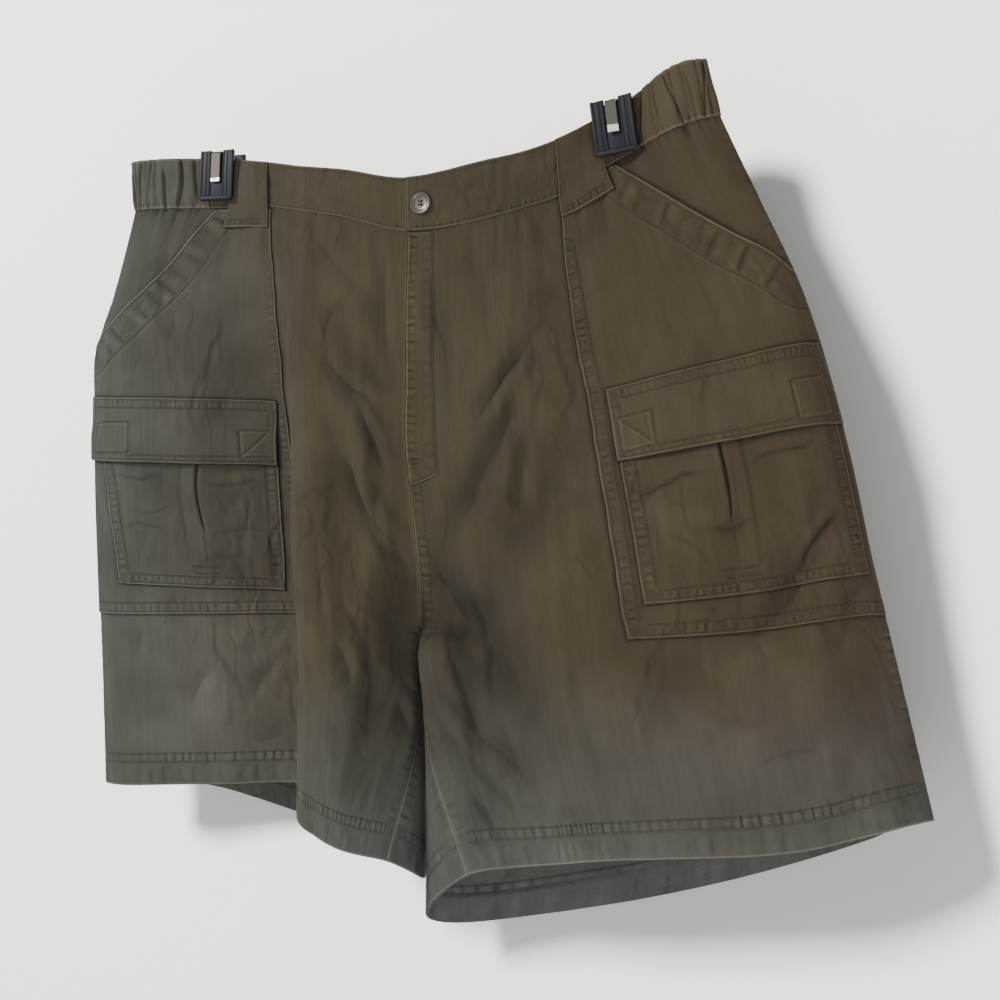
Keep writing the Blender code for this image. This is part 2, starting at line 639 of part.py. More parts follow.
def band_normals(half, s):
    """Outward normals of the waistband, the same all the way up it."""
    return normals(band_surface, half, s, np.full_like(s, 0.5))


def band_wall(name, points, out, ripple, collection):
    """Stretch of waistband, from the points and normals of its middle face."""
    outer = points + out * (BAND_OUT + ripple)
    wall(name, outer, outer - out * BAND_WALL, "twill_band", collection)


def make_front_band(half, collection):
    """Plain front half of the waistband, from the centre to the elastic."""
    columns = [c for c in FRONT_COLUMNS if c < ELASTIC_FRONT] + [ELASTIC_FRONT - 0.001]
    if half == "left":
        columns[0] = 0.001
    sheet = make_band_sheet(half, columns)
    band_wall(f"waistband_front_{half}", sheet["points"], sheet["normals"], 0.0, collection)
    return sheet


def make_elastic_band(half, collection):
    """Gathered elastic part of the waistband, round the side."""
    columns = np.linspace(ELASTIC_FRONT, ELASTIC_BACK, 4 * GATHERS + 1)
    sheet = make_band_sheet(half, columns)
    share = np.linspace(0, 1, len(columns))
    ends = smooth(np.minimum(share, 1 - share) / 0.06)
    wave = GATHER_HEIGHT * np.sin(2 * np.pi * GATHERS * share) * ends
    ripple = wave[None] * (0.55 + 0.45 * np.array(BAND_ROWS)[:, None])
    band_wall(f"waistband_elastic_{half}", sheet["points"], sheet["normals"], ripple[..., None],
              collection)


def mirrored_sheets(columns, maker):
    """Points and normals across the centre back, from the left half to the right half."""
    left, right = (maker(half, columns) for half in ("left", "right"))
    return [np.concatenate([left[key], right[key][:, -2::-1]], axis=1) for key in ("points", "normals")]


def make_back_band(collection):
    """Plain back of the waistband, across the centre back seam."""
    columns = [ELASTIC_BACK + 0.001] + [c for c in BACK_COLUMNS if c > ELASTIC_BACK + 0.01]
    points, out = mirrored_sheets(columns, make_band_sheet)
    band_wall("waistband_back", points, out, 0.0, collection)


def make_underlap(sheet, collection):
    """Button end of the waistband, running on behind the other end."""
    s, w = grid((0.003, 0.03, UNDERLAP), (0.06, 0.5, 0.96))
    points, out = on_sheet(sheet, s, w)
    outer = points + out * (BAND_OUT - BAND_WALL - GAP)
    wall("waistband_underlap", outer, outer - out * BAND_WALL, "twill_band", collection)


def loop_wall(name, points, out, foot_lift, collection):
    """Belt loop through rows of points: four down the band, two on the panel below."""
    lift = np.full(len(points), BAND_OUT + GAP)
    lift[1:-1] += LOOP_LIFT
    lift[-2:] = foot_lift
    under = points + out * lift[:, None, None]
    wall(name, under + out * LOOP_WALL, under, "twill_band", collection)


def make_loop(half, band, panel, collection):
    """Wide belt loop beside a clip, from the band's top edge down over the waist seam."""
    first, last, foot = LOOPS[half]
    columns = [first] + [c for c in FRONT_COLUMNS if first + 0.01 < c < last - 0.01] + [last]
    upper, out_upper = on_sheet(band, *grid(columns, LOOP_ROWS))
    lower, out_lower = on_sheet(panel, *grid(columns, (0.012, foot)))
    loop_wall(f"belt_loop_{half}", np.concatenate([upper, lower]),
              np.concatenate([out_upper, out_lower]), 3 * GAP + LAYER, collection)


def make_back_loop(collection):
    """Belt loop over the centre back seam."""
    columns = [1 - BACK_LOOP_HALF, 1 - BACK_LOOP_HALF / 2, 1.0]

    def band_rows_at(half, at):
        s, w = grid(at, LOOP_ROWS)
        return {"points": band_surface(half, s, w), "normals": band_normals(half, s)}

    def panel_rows_at(half, at):
        s, v = grid(at, (0.012, BACK_LOOP_FOOT))
        return {"points": surface(half, s, v), "normals": panel_normals(half, s, v)}

    upper, out_upper = mirrored_sheets(columns, band_rows_at)
    lower, out_lower = mirrored_sheets(columns, panel_rows_at)
    loop_wall("belt_loop_back", np.concatenate([upper, lower]),
              np.concatenate([out_upper, out_lower]), BAND_OUT + GAP, collection)


def make_fly(sheet, collection):
    """Fly edge: the right front laps over the centre, curving in at its foot."""
    width, foot = FLY_WIDTH, FLY_FOOT
    bend = [(width, FLY_TURN), (0.87 * width, FLY_TURN + 0.5 * (foot - FLY_TURN)),
            (0.5 * width, FLY_TURN + 0.87 * (foot - FLY_TURN)), (0.0, foot)]
    outline = [((FLY_START, 1), (FLY_START, 0)), ((0, PATCH_TOP), (1, PATCH_TOP)),
               ((width, 0), (width, 1))] + list(zip(bend, bend[1:]))
    cut = cut_facets(sheet, outline)
    thick = FLY_WALL * (1 - 0.4 * cut[0] / width)
    lay_on("fly_front", sheet, cut, GAP, thick, "twill", collection)


def make_zip(collection):
    """Closed zip behind the fly: tape with the chain raised along its middle."""
    columns = np.array((1.0, 0.3, 0.12, 0.0)) * ZIP_HALF

    def tape_at(half, at):
        s, v = grid(at, np.linspace(0.012, ZIP_FOOT, 12))
        return {"points": surface(half, s, v), "normals": panel_normals(half, s, v)}

    points, out = mirrored_sheets(columns, tape_at)
    chain = np.array((0, 0, ZIP_CHAIN, ZIP_CHAIN, ZIP_CHAIN, 0, 0))[None, :, None]
    outer = points - out * (CLOTH + 2 * GAP)
    wall("fly_zip", outer, outer - out * (ZIP_TAPE + chain), "zip_metal", collection)


def make_button(collection, cutters):
    """Four-hole button with a raised rim, on the buttoned end of the waistband."""
    radius = BUTTON_RADIUS
    thick = BUTTON_THICK
    profile = ((0, thick * 0.62), (radius - BUTTON_RIM - 0.8, thick * 0.62), (radius - BUTTON_RIM, thick),
               (radius - 0.5, thick), (radius, thick * 0.62), (radius, 0.5), (radius - 0.6, 0), (0, 0))
    mesh = bpy.data.meshes.new("button")
    mesh.from_pydata([(x * MM, 0, z * MM) for x, z in profile], [(i, i + 1) for i in range(7)], [])
    button = link("button", mesh, "horn", collection)
    turn = button.modifiers.new("turn", "SCREW")
    turn.steps = BUTTON_SIDES
    turn.render_steps = BUTTON_SIDES
    turn.use_merge_vertices = True
    turn.merge_threshold = 0.00001
    shape = bmesh.new()
    for i in range(4):
        angle = math.radians(45 + 90 * i)
        made = bmesh.ops.create_cone(shape, cap_ends=True, segments=10, radius1=BUTTON_HOLE * MM,
                                     radius2=BUTTON_HOLE * MM, depth=4 * thick * MM)
        move = (BUTTON_HOLE_PITCH * math.cos(angle) * MM, BUTTON_HOLE_PITCH * math.sin(angle) * MM, 0)
        bmesh.ops.translate(shape, verts=made["verts"], vec=move)
    drill_mesh = bpy.data.meshes.new("button_drill")
    shape.to_mesh(drill_mesh)
    shape.free()
    drill = bpy.data.objects.new("button_drill", drill_mesh)
    drill.hide_render = True
    drill.display_type = "WIRE"
    cutters.objects.link(drill)
    cut = button.modifiers.new("holes", "BOOLEAN")
    cut.operation = "DIFFERENCE"
    cut.object = drill
    s = np.array([BUTTON_STATION])
    w = np.array([BUTTON_HEIGHT])
    seat = band_surface("right", s, w)[0]
    out = band_normals("right", s)[0]
    place = seat + out * (BAND_OUT + GAP + 0.15)
    tip = math.atan2(math.hypot(out[0], out[1]), out[2])
    head = math.atan2(out[1], out[0])
    for piece in (button, drill):
        piece.location = place * MM
        piece.rotation_euler = (0, tip, head)


def clip_frame(half):
    """Middle of a clip's top, and its directions: across, out to the front, and up."""
    x, z, lean = CLIPS[half]
    centre = np.array((x, 0.0, z))
    tilt = math.radians(lean)
    across = np.array((math.cos(tilt), 0.0, -math.sin(tilt)))
    up = np.array((math.sin(tilt), 0.0, math.cos(tilt)))
    return centre, across, np.array((0.0, -1.0, 0.0)), up


def jaw_seat(half, face):
    """How far a jaw's face stands from the middle plane, just clear of the cloth it holds."""
    centre, across, out, _ = clip_frame(half)
    if face > 0:
        columns = np.linspace(0.25, 0.45, 41)
        cover = BAND_OUT + GAP + LOOP_WALL + LOOP_LIFT
    else:
        columns = np.linspace(0.60, 0.85, 41)
        cover = BAND_OUT
    s, w = grid(columns, np.linspace(0, 1, 9))
    cloth = band_surface(half, s, w) + band_normals(half, s) * cover
    away = (cloth - centre) @ across
    held = np.abs(away) < CLIP_WIDTH / 2 + 1
    return float(((cloth - centre) @ out * face)[held].max()) + GAP


def make_jaw(half, face, collection):
    """One jaw: a notched plate that narrows downwards, on the front (+1) or back (-1)."""
    centre, across, out, up = clip_frame(half)
    seat = jaw_seat(half, face)
    foot = CLIP_TAPER * CLIP_WIDTH / 2
    outline = ((-CLIP_WIDTH / 2, 0), (-NOTCH_WIDTH / 2, 0), (-NOTCH_WIDTH / 2, -NOTCH_DEPTH),
               (NOTCH_WIDTH / 2, -NOTCH_DEPTH), (NOTCH_WIDTH / 2, 0), (CLIP_WIDTH / 2, 0),
               (foot, -CLIP_HEIGHT), (-foot, -CLIP_HEIGHT))
    shape = bmesh.new()
    rings = []
    for depth in (seat, seat + CLIP_THICK):
        places = [centre + across * x + up * z + out * face * depth for x, z in outline]
        rings.append([shape.verts.new(place * MM) for place in places])
    near, far = rings
    shape.faces.new(near)
    shape.faces.new(far)
    for i in range(len(outline)):
        shape.faces.new((near[i - 1], near[i], far[i], far[i - 1]))
    shape.normal_update()
    bmesh.ops.recalc_face_normals(shape, faces=shape.faces)
    name = f"clip_{half}_{'front' if face > 0 else 'back'}_jaw"
    mesh = bpy.data.meshes.new(name)
    shape.to_mesh(mesh)
    shape.free()
    jaw = link(name, mesh, "black_plastic", collection)
    bevel = jaw.modifiers.new("edges", "BEVEL")
    bevel.width = CLIP_BEVEL * MM
    bevel.segments = 2


def make_spring(half, collection):
    """Flat steel spring, bent over both jaws of a clip."""
    centre, across, out, up = clip_frame(half)
    front = jaw_seat(half, 1) + CLIP_THICK + GAP
    back = jaw_seat(half, -1) + CLIP_THICK + GAP
    middle = (front - back) / 2
    radius = (front + back) / 2
    path = [(front, -SPRING_LEG), (front, -SPRING_LEG / 2)]
    bend = [math.radians(a) for a in range(0, 181, 20)]
    head = SPRING_RISE - NOTCH_DEPTH
    path += [(middle + radius * math.cos(a), head + radius * SPRING_ARCH * math.sin(a)) for a in bend]
    path += [(-back, -SPRING_LEG / 2), (-back, -SPRING_LEG)]
    path = np.array(path)
    along = unit_vectors(np.gradient(path, axis=0))
    aside = np.column_stack([along[:, 1], -along[:, 0]])
    outside = path + aside * SPRING_THICK
    def place(flat):
        points = centre + flat[:, :1] * out + flat[:, 1:] * up
        return np.stack([points - across * SPRING_WIDTH / 2, points + across * SPRING_WIDTH / 2], axis=1)
    wall(f"clip_{half}_spring", place(outside), place(path), "steel", collection)


def main():
    for old in list(bpy.data.objects):
        bpy.data.objects.remove(old)
    shorts = bpy.data.collections.new("cargo_shorts")
    cutters = bpy.data.collections.new("cutters")
    for made in (shorts, cutters):
        bpy.context.scene.collection.children.link(made)
    for half in ("left", "right"):
        front = make_panel(f"front_{half}", half, FRONT_COLUMNS, shorts)
        make_panel(f"back_{half}", half, BACK_COLUMNS, shorts)
        make_patch(half, front, shorts)
        make_cargo_pocket(half, front, shorts)
        make_flap(half, front, shorts)
        band = make_front_band(half, shorts)
        make_elastic_band(half, shorts)
        make_loop(half, band, front, shorts)
        for face in (1, -1):
            make_jaw(half, face, shorts)
        make_spring(half, shorts)
    make_back_band(shorts)
    make_back_loop(shorts)
    make_underlap(band, shorts)
    make_fly(front, shorts)
    make_zip(shorts)
    make_button(shorts, cutters)


main()
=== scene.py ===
"""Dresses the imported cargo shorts: cloth with creases, puckered seams and stitches, button, clips.

The leg panels, pockets, flaps, loops and waistband are laid out on the same level sections as
their solids. Tables are in millimetres, and MM turns them into metres. +Z is up, the front faces
-Y, and "left" and "right" are as seen from the front. A station s and a level v name a place on
a half of the garment; x = s * HALF_GIRTH and y = v * PANEL_DROP lay the half out flat, in mm.
"""
import math
from dataclasses import dataclass

import bmesh
import bpy
import numpy as np
from mathutils import Matrix, Vector


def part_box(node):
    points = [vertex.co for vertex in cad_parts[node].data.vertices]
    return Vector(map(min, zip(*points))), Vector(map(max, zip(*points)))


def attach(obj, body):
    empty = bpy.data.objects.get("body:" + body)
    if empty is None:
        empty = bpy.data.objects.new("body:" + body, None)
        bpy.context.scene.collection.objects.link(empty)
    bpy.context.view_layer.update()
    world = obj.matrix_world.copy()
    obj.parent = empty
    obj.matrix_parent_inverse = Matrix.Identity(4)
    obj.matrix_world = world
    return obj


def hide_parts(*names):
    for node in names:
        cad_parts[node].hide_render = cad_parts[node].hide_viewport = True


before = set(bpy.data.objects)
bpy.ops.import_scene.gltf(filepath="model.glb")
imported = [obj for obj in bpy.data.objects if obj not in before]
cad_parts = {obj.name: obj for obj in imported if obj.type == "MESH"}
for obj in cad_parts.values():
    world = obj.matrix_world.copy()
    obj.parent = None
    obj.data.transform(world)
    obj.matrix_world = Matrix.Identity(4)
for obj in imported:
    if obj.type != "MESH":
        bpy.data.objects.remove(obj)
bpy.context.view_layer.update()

MM = 0.001
SIDES = ("left", "right")
OTHER = {"left": "right", "right": "left"}

# ---------------------------------------------------------------- cloth and seams
GAP = 0.3            # between neighbouring pieces
CLOTH = 1.5          # wall of a leg panel
LAYER = 1.1          # wall of a piece sewn onto a panel
HEM_CLOTH = 2.7      # wall of the hem, where the cloth lies double
BAND_OUT = 1.0       # waistband face in front of the panels
BAND_WALL = 2.6      # waistband wall, cloth lying double
BAND_DROP = 42.0     # height of the waistband
BAND_FOOT = 1.012    # lower edge of the waistband, where 0 is its top edge and 1 the waist seam
PANEL_DROP = 495.0   # waist seam to hem along the side
HEM_LINE = PANEL_DROP - 27.0   # upper edge of the turned-up hem
HALF_GIRTH = 600.0   # mean length of a section, centre front to centre back
FAR = 500.0          # offset of a row of stitches that a seam doesn't have

# ---------------------------------------------------------------- level sections
# A level is a fraction of the drop from the waist seam (0) to the hem (1).
LEVELS = (0.0, 0.14, 0.24, 0.33, 0.50, 0.63, 0.80, 1.0)
CROTCH = 0.63        # level of the crotch point, where the four panels meet
CROTCH_Z = -395.0

# A station is a fraction of a half section: centre front or inseam (0), round the side
# seam (0.5), to centre back or inseam (1). In order: inner_front, middle, fold, seam, patch,
# turn_front, side, turn_back, back_side, back_middle, back_inner, wrap, inner_back.
STATIONS = (0.0, 0.11, 0.20, 0.25, 0.365, 0.485, 0.5, 0.515, 0.60, 0.72, 0.83, 0.93, 1.0)
SIDE = 0.5
TURN = 8.0           # how far the cloth rounds off at the side seam

# Front sections, x and y of each station, one row per level.
#   inner_front   middle      fold        seam        patch
FRONT_LEFT = (
    (15, -32, -45, -24, -92, -15, -120, -9, -172, -2.1),
    (14, -37, -42, -34, -92, -25, -120, -8, -196, -11),
    (13, -38, -40, -39, -89, -34, -121, 0, -206, -12),
    (11, -38, -38, -42, -86, -40, -121, 8, -211, -9),
    (12, -25, -34, -41, -80, -48, -118, 18, -214, 0),
    (0.5, 5, -32, -40, -74, -52, -114, 22, -213, 5),
    (-2, -3, -38, -48, -69, -59, -110, 25, -210, 9),
    (-22, -24, -50, -55, -71, -62, -107, 25, -208, 12),
)
FRONT_RIGHT = (
    (15, -32, 80, -29, 106, -22, 134, -14, 178, -2.1),
    (14, -37, 87, -40, 114, -35, 143, -24, 218, -22),
    (13, -38, 91, -46, 120, -43, 152, -33, 238, -33),
    (11, -38, 95, -52, 126, -49, 161, -40, 252, -40),
    (12, -25, 103, -56, 136, -55, 177, -49, 268, -45),
    (0.5, 5, 110, -60, 145, -59, 187, -54, 278, -48),
    (17, -12, 119, -62, 156, -62, 199, -58, 292, -50),
    (61, -35, 139, -64, 178, -64, 216, -62, 305, -48),
)
# Side seam, x and y, one pair per level.
SIDE_LEFT = ((-258, -8), (-281, -9), (-301, -9), (-304, -8), (-307, -5), (-308, -2), (-308, 1),
             (-308, 3))
SIDE_RIGHT = ((261, -26), (291, -28), (312, -28), (326, -26), (344, -18), (354, -10), (370, -1),
              (389, 5))
# Back sections, x and y of each station, one row per level.
#   back_side   back_middle   back_inner   wrap   inner_back
BACK_LEFT = (
    (-228, 8, -172, 2.1, -90, 16, -30, 23, 15, 25),
    (-242, 14, -174, 19, -90, 29, -30, 34, 15, 35),
    (-255, 17, -178, 27, -90, 37, -30, 42, 14, 43),
    (-262, 19, -181, 33, -90, 43, -30, 49, 13, 50),
    (-268, 23, -185, 41, -95, 51, -32, 56, 12, 57),
    (-268, 27, -185, 46, -95, 55, -26, 47, 0.5, 5),
    (-264, 31, -182, 51, -88, 57, -3, 28, -2, -3),
    (-254, 35, -165, 57, -65, 60, -8.5, 20, -22, -24),
)
BACK_RIGHT = (
    (234, -3, 178, 2.1, 100, 16, 50, 22, 15, 25),
    (260, 0, 190, 17, 105, 30, 52, 34, 15, 35),
    (281, 4, 200, 27, 111, 39, 54, 42, 14, 43),
    (296, 10, 210, 35, 116, 45, 55, 49, 13, 50),
    (314, 19, 224, 46, 125, 54, 58, 58, 12, 57),
    (322, 26, 234, 53, 132, 60, 36, 49, 0.5, 5),
    (330, 34, 243, 61, 134, 66, 5, 24, 17, -12),
    (342, 40, 240, 63, 118, 70, -1, 18, 61, -35),
)
# Height of the waist seam, of the hem and of the waistband's top edge at each station.
HEIGHTS_LEFT = {
    "waist": (-87, -68, -55, -48, -41, -36, -35, -36, -38, -41, -60, -74, -84),
    "hem": (-577, -562, -548, -531, -532, -533, -533, -533, -534, -555, -588, -600, -577),
    "top": (-45, -29, -18, -11, 1, 7, 8, 7, 5, 1, -14, -31, -42),
}
HEIGHTS_RIGHT = {
    "waist": (-87, -84, -78, -70, -45, -31, -30, -31, -37, -45, -64, -76, -84),
    "hem": (-579, -561, -556, -553, -546, -530, -530, -530, -552, -592, -625, -632, -579),
    "top": (-45, -39, -35, -27, -5, 13, 13, 13, 14, -5, -25, -36, -42),
}
# Top edge of the waistband, x and y, in the order of the stations without the turns.
TOP_LEFT = (15, -32, -46, -24, -93, -15, -120, -9, -172, -2.1, -261, -8,
            -230, 7, -172, 2.1, -90, 15, -30, 22, 15, 24)
TOP_RIGHT = (15, -32, 80, -29, 106, -23, 132, -15, 178, -2.1, 251, -25,
             228, -6, 178, 2.1, 100, 15, 50, 21, 15, 24)

# Largest folds: station and level at both ends, in thousandths, half width, height (outwards is +).
FOLDS = {
    "left": (
        (135, 300, 110, 800, 16, -5), (85, 100, 60, 620, 15, 4), (40, 550, 85, 960, 14, -5),
        (330, 740, 290, 970, 15, -4), (700, 80, 800, 600, 22, 6), (880, 400, 780, 980, 22, -6),
        (620, 450, 660, 990, 22, 6),
    ),
    "right": (
        (190, 300, 60, 680, 17, -6), (245, 420, 150, 880, 20, 5), (90, 620, 120, 980, 14, -5),
        (440, 560, 330, 860, 16, -5), (690, 80, 800, 620, 22, 6), (860, 450, 760, 990, 24, -7),
        (620, 400, 650, 990, 22, 6),
    ),
}
FOLD_CLEAR = 0.035   # folds fade out this far from a seam, as a fraction of a half section

# ---------------------------------------------------------------- places of the sewn-on pieces
# Corners and edges that the photo shows were measured on it like the creases below.
ELASTIC_FRONT = 0.385      # the elastic part of the band runs between these stations
ELASTIC_BACK = 0.655
# Hip patches: station of the front edge, level of the foot at the front and at the side.
PATCHES = {"left": (0.252, 0.704, 0.699), "right": (0.249, 0.687, 0.716)}
PATCH_SIDE = 0.4975  # the patch ends just before the side seam
PATCH_TOP = 0.004
MOUTH_LIFT = {"left": 1.8, "right": 3.0}    # how far the lip of a hand opening stands off
# Pocket and flap corners: station and level, upper front, upper side, lower side, lower front.
POCKETS = {
    "left": ((0.273, 0.405), (0.470, 0.405), (0.451, 0.646), (0.280, 0.663)),
    "right": ((0.269, 0.400), (0.490, 0.415), (0.488, 0.659), (0.270, 0.641)),
}
FLAPS = {
    "left": ((0.266, 0.332), (0.4955, 0.320), (0.4955, 0.431), (0.274, 0.4435)),
    "right": ((0.268, 0.3205), (0.4935, 0.337), (0.4945, 0.451), (0.268, 0.431)),
}
PLEAT_AT = 0.41       # place of the slit across the pocket, from its front edge
PLEATS_OPEN = {"left": (0.60, 2.2), "right": (0.56, 1.2)}   # foot of the slit as a share, bow in mm
FLAP_STEP = (0.36, 0.395)   # between these levels the flap climbs from the patch onto the pocket
# Belt loops: stations of both edges, and level of the lower end.
LOOPS = {"left": (0.257, 0.349, 0.036), "right": (0.250, 0.338, 0.038)}
LOOP_WALL = 1.3       # wall of a belt loop's solid, on whose face the cloth lies
LOOP_ROWS = (1.0, 0.7, 0.35, 0.05)   # places up the band where a loop's rows lie
LOOP_LIFT = 0.6       # free height between a belt loop and the band
LOOP_LONG = 60.0      # length of a front loop, and below it of the back one
BACK_LOOP_LONG = 58.0
BACK_LOOP_HALF = 0.030
BACK_LOOP_FOOT = 0.035
FLY_START = 0.002
FLY_WIDTH = 0.037
FLY_FOOT = 0.405
BUTTON_RADIUS = 8.8
BUTTON_THICK = 2.6
BUTTON_STATION = 0.022
BUTTON_HEIGHT = 0.48  # up the waistband, 0 at the waist seam
HOLE_RADIUS = 0.9     # of each of the button's four holes
HOLE_RING = 1.9       # from the button's middle to the middle of a hole
THREAD_ASIDE = 1.35   # from the button's middle to each of its two threads
# Hanger clips: x and z of the middle of the jaws' top edge, how far its right end leans down.
CLIPS = {"left": (-172.0, 6.5, 4.0), "right": (175.5, -0.5, -6.0)}
CLIP_HEIGHT = 43.0
CLIP_THICK = 3.4


# ================================================================ level sections as faces
def weights(knots, at):
    """Share of each knot's value in a smooth curve through the knots, at each place asked."""
    knots = np.asarray(knots, float)
    at = np.asarray(at, float)
    step = np.diff(knots)
    unit = np.eye(len(knots))
    slope = np.diff(unit, axis=0) / step[:, None]
    tangent = np.vstack([slope[:1], (slope[:-1] + slope[1:]) / 2, slope[-1:]])
    i = np.clip(np.searchsorted(knots, at, side="right") - 1, 0, len(knots) - 2)
    width = step[i][:, None]
    t = ((at - knots[i]) / step[i])[:, None]
    return ((1 + 2 * t) * (1 - t) ** 2 * unit[i] + t * (1 - t) ** 2 * width * tangent[i]
            + t * t * (3 - 2 * t) * unit[i + 1] + t * t * (t - 1) * width * tangent[i + 1])


def smooth(t):
    """Soft step from 0 to 1."""
    t = np.clip(t, 0.0, 1.0)
    return t * t * (3 - 2 * t)


def bell(distance, width):
    """1 at distance 0, falling to 0 on both sides."""
    return np.exp(-((distance / width) ** 2))


def unit_vectors(vectors):
    """Vectors of length 1."""
    return vectors / np.maximum(np.linalg.norm(vectors, axis=-1, keepdims=True), 1e-9)


def with_turns(front, side, back):
    """The 13 stations of one section: both turns stand close to the side seam."""
    front = np.asarray(front, float).reshape(5, 2)
    back = np.asarray(back, float).reshape(5, 2)
    side = np.asarray(side, float)
    across = np.array((0.0, 1.0))
    turn_front = side + 0.8 * TURN * unit_vectors(front[4] - side) - 0.55 * TURN * across
    turn_back = side + 0.8 * TURN * unit_vectors(back[0] - side) + 0.25 * TURN * across
    return np.vstack([front, turn_front, side, turn_back, back])


def half_table(fronts, sides, backs, heights):
    """Stations of every level of one half: x, y and z."""
    plan = np.array([with_turns(f, s, b) for f, s, b in zip(fronts, sides, backs)])
    waist = np.asarray(heights["waist"], float)
    hem = np.asarray(heights["hem"], float)
    level = np.array(LEVELS)[:, None]
    z = waist * (1 - level) + hem * level
    down = level[:, 0]
    for k in (0, 12):
        upper = waist[k] + (CROTCH_Z - waist[k]) * down / CROTCH
        lower = CROTCH_Z + (hem[k] - CROTCH_Z) * (down - CROTCH) / (1 - CROTCH)
        z[:, k] = np.where(down <= CROTCH, upper, lower)
    return np.concatenate([plan, z[..., None]], axis=2)


def top_table(row, heights):
    """Stations of the waistband's top edge of one half."""
    plan = with_turns(row[:10], row[10:12], row[12:])
    return np.column_stack([plan, np.asarray(heights["top"], float)])


HALVES = {
    "left": half_table(FRONT_LEFT, SIDE_LEFT, BACK_LEFT, HEIGHTS_LEFT),
    "right": half_table(FRONT_RIGHT, SIDE_RIGHT, BACK_RIGHT, HEIGHTS_RIGHT),
}
TOPS = {"left": top_table(TOP_LEFT, HEIGHTS_LEFT), "right": top_table(TOP_RIGHT, HEIGHTS_RIGHT)}


def stations_at(half, v):
    """The 13 stations at each level asked; the inner seams bend sharply at the crotch."""
    table = HALVES[half]
    share = weights(LEVELS, v)
    points = np.einsum("mj,jkc->mkc", share, table)
    levels = np.array(LEVELS)
    upper = np.flatnonzero(levels <= CROTCH)
    lower = np.flatnonzero(levels >= CROTCH)
    over = weights(levels[upper], np.minimum(v, CROTCH))
    under = weights(levels[lower], np.maximum(v, CROTCH))
    for k in (0, 12):
        above = over @ table[upper, k]
        below = under @ table[lower, k]
        points[:, k] = np.where((v <= CROTCH)[:, None], above, below)
    return points


def through(points, before, after, s):
    """Smooth curve through each row's 13 stations; before and after shape its two ends."""
    row = np.arange(len(s))
    chain = np.concatenate([before[:, None], points, after[:, None]], axis=1)
    stations = np.array(STATIONS)
    i = np.clip(np.searchsorted(stations, s, side="right") - 1, 0, len(stations) - 2)
    t = ((s - stations[i]) / (stations[i + 1] - stations[i]))[:, None]
    p0, p1, p2, p3 = (chain[row, i + k] for k in range(4))
    d0, d1, d2 = (np.maximum(np.linalg.norm(b - a, axis=1, keepdims=True), 1e-6)
                  for a, b in ((p0, p1), (p1, p2), (p2, p3)))
    start = (d1 * (p1 - p0) / d0 + d0 * (p2 - p1) / d1) / (d0 + d1) * d1
    end = (d2 * (p2 - p1) / d1 + d1 * (p3 - p2) / d2) / (d1 + d2) * d1
    return ((1 + 2 * t) * (1 - t) ** 2 * p1 + t * (1 - t) ** 2 * start
            + t * t * (3 - 2 * t) * p2 + t * t * (t - 1) * end)


def fold_height(half, s, v):
    """Height of all folds of one half at each point, outwards."""
    height = np.zeros_like(s)
    for *ends, width, peak in FOLDS[half]:
        s0, v0, s1, v1 = (end / 1000 for end in ends)
        run = np.array(((s1 - s0) * HALF_GIRTH, (v1 - v0) * PANEL_DROP))
        dx = (s - s0) * HALF_GIRTH
        dz = (v - v0) * PANEL_DROP
        along = (dx * run[0] + dz * run[1]) / (run @ run)
        off = (dx * run[1] - dz * run[0]) / math.hypot(*run)
        height += peak * bell(off, width) * smooth(along / 0.3) * smooth((1 - along) / 0.3)
    clear = np.minimum(np.minimum(s, 1 - s), np.abs(s - SIDE))
    return height * smooth(clear / FOLD_CLEAR)


def surface(half, s, v):
    """Outer face of the leg panels at stations s and levels v."""
    s, v = np.broadcast_arrays(np.asarray(s, float), np.asarray(v, float))
    shape = s.shape
    s = s.ravel()
    v = v.ravel()
    own = stations_at(half, v)
    other = stations_at(OTHER[half], v)
    leg = smooth((v - CROTCH + 0.05) / 0.18)[:, None]
    before, after = other[:, 1].copy(), other[:, 11].copy()
    valley = smooth((v - CROTCH + 0.13) / 0.13)
    for end, beyond in ((0, before), (12, after)):
        beyond[:, 1] += valley * (own[:, end, 1] - beyond[:, 1])
    before = before * (1 - leg) + own[:, 11] * leg
    after = after * (1 - leg) + own[:, 1] * leg
    points = through(own, before, after, s)
    outwards = np.where(s < SIDE, -1.0, 1.0)
    points[:, 1] += outwards * fold_height(half, s, v)
    return points.reshape(shape + (3,))


def band_surface(half, s, w):
    """Middle face of the waistband: w is 0 at the waist seam and 1 at the top edge."""
    s, w = np.broadcast_arrays(np.asarray(s, float), np.asarray(w, float))
    shape = s.shape
    s = s.ravel()
    foot = surface(half, s, np.zeros_like(s))
    own = np.repeat(TOPS[half][None], len(s), axis=0)
    other = np.repeat(TOPS[OTHER[half]][None], len(s), axis=0)
    head = through(own, other[:, 1], other[:, 11], s)
    points = foot + (head - foot) * w.ravel()[:, None]
    return points.reshape(shape + (3,))


def normals(face, half, s, v):
    """Outward normals of a face function."""
    step = 0.0015
    s, v = np.broadcast_arrays(np.asarray(s, float), np.asarray(v, float))
    s_low = np.maximum(s - step, 0.0)
    s_high = np.minimum(s + step, 1.0)
    along = face(half, s_high, v) - face(half, s_low, v)
    if face is surface:
        up = face(half, s, np.maximum(v - step, 0.0)) - face(half, s, np.minimum(v + step, 1.0))
    else:
        up = face(half, s, v + step) - face(half, s, v - step)
    turned = np.cross(along, up)
    return unit_vectors(turned if half == "right" else -turned)


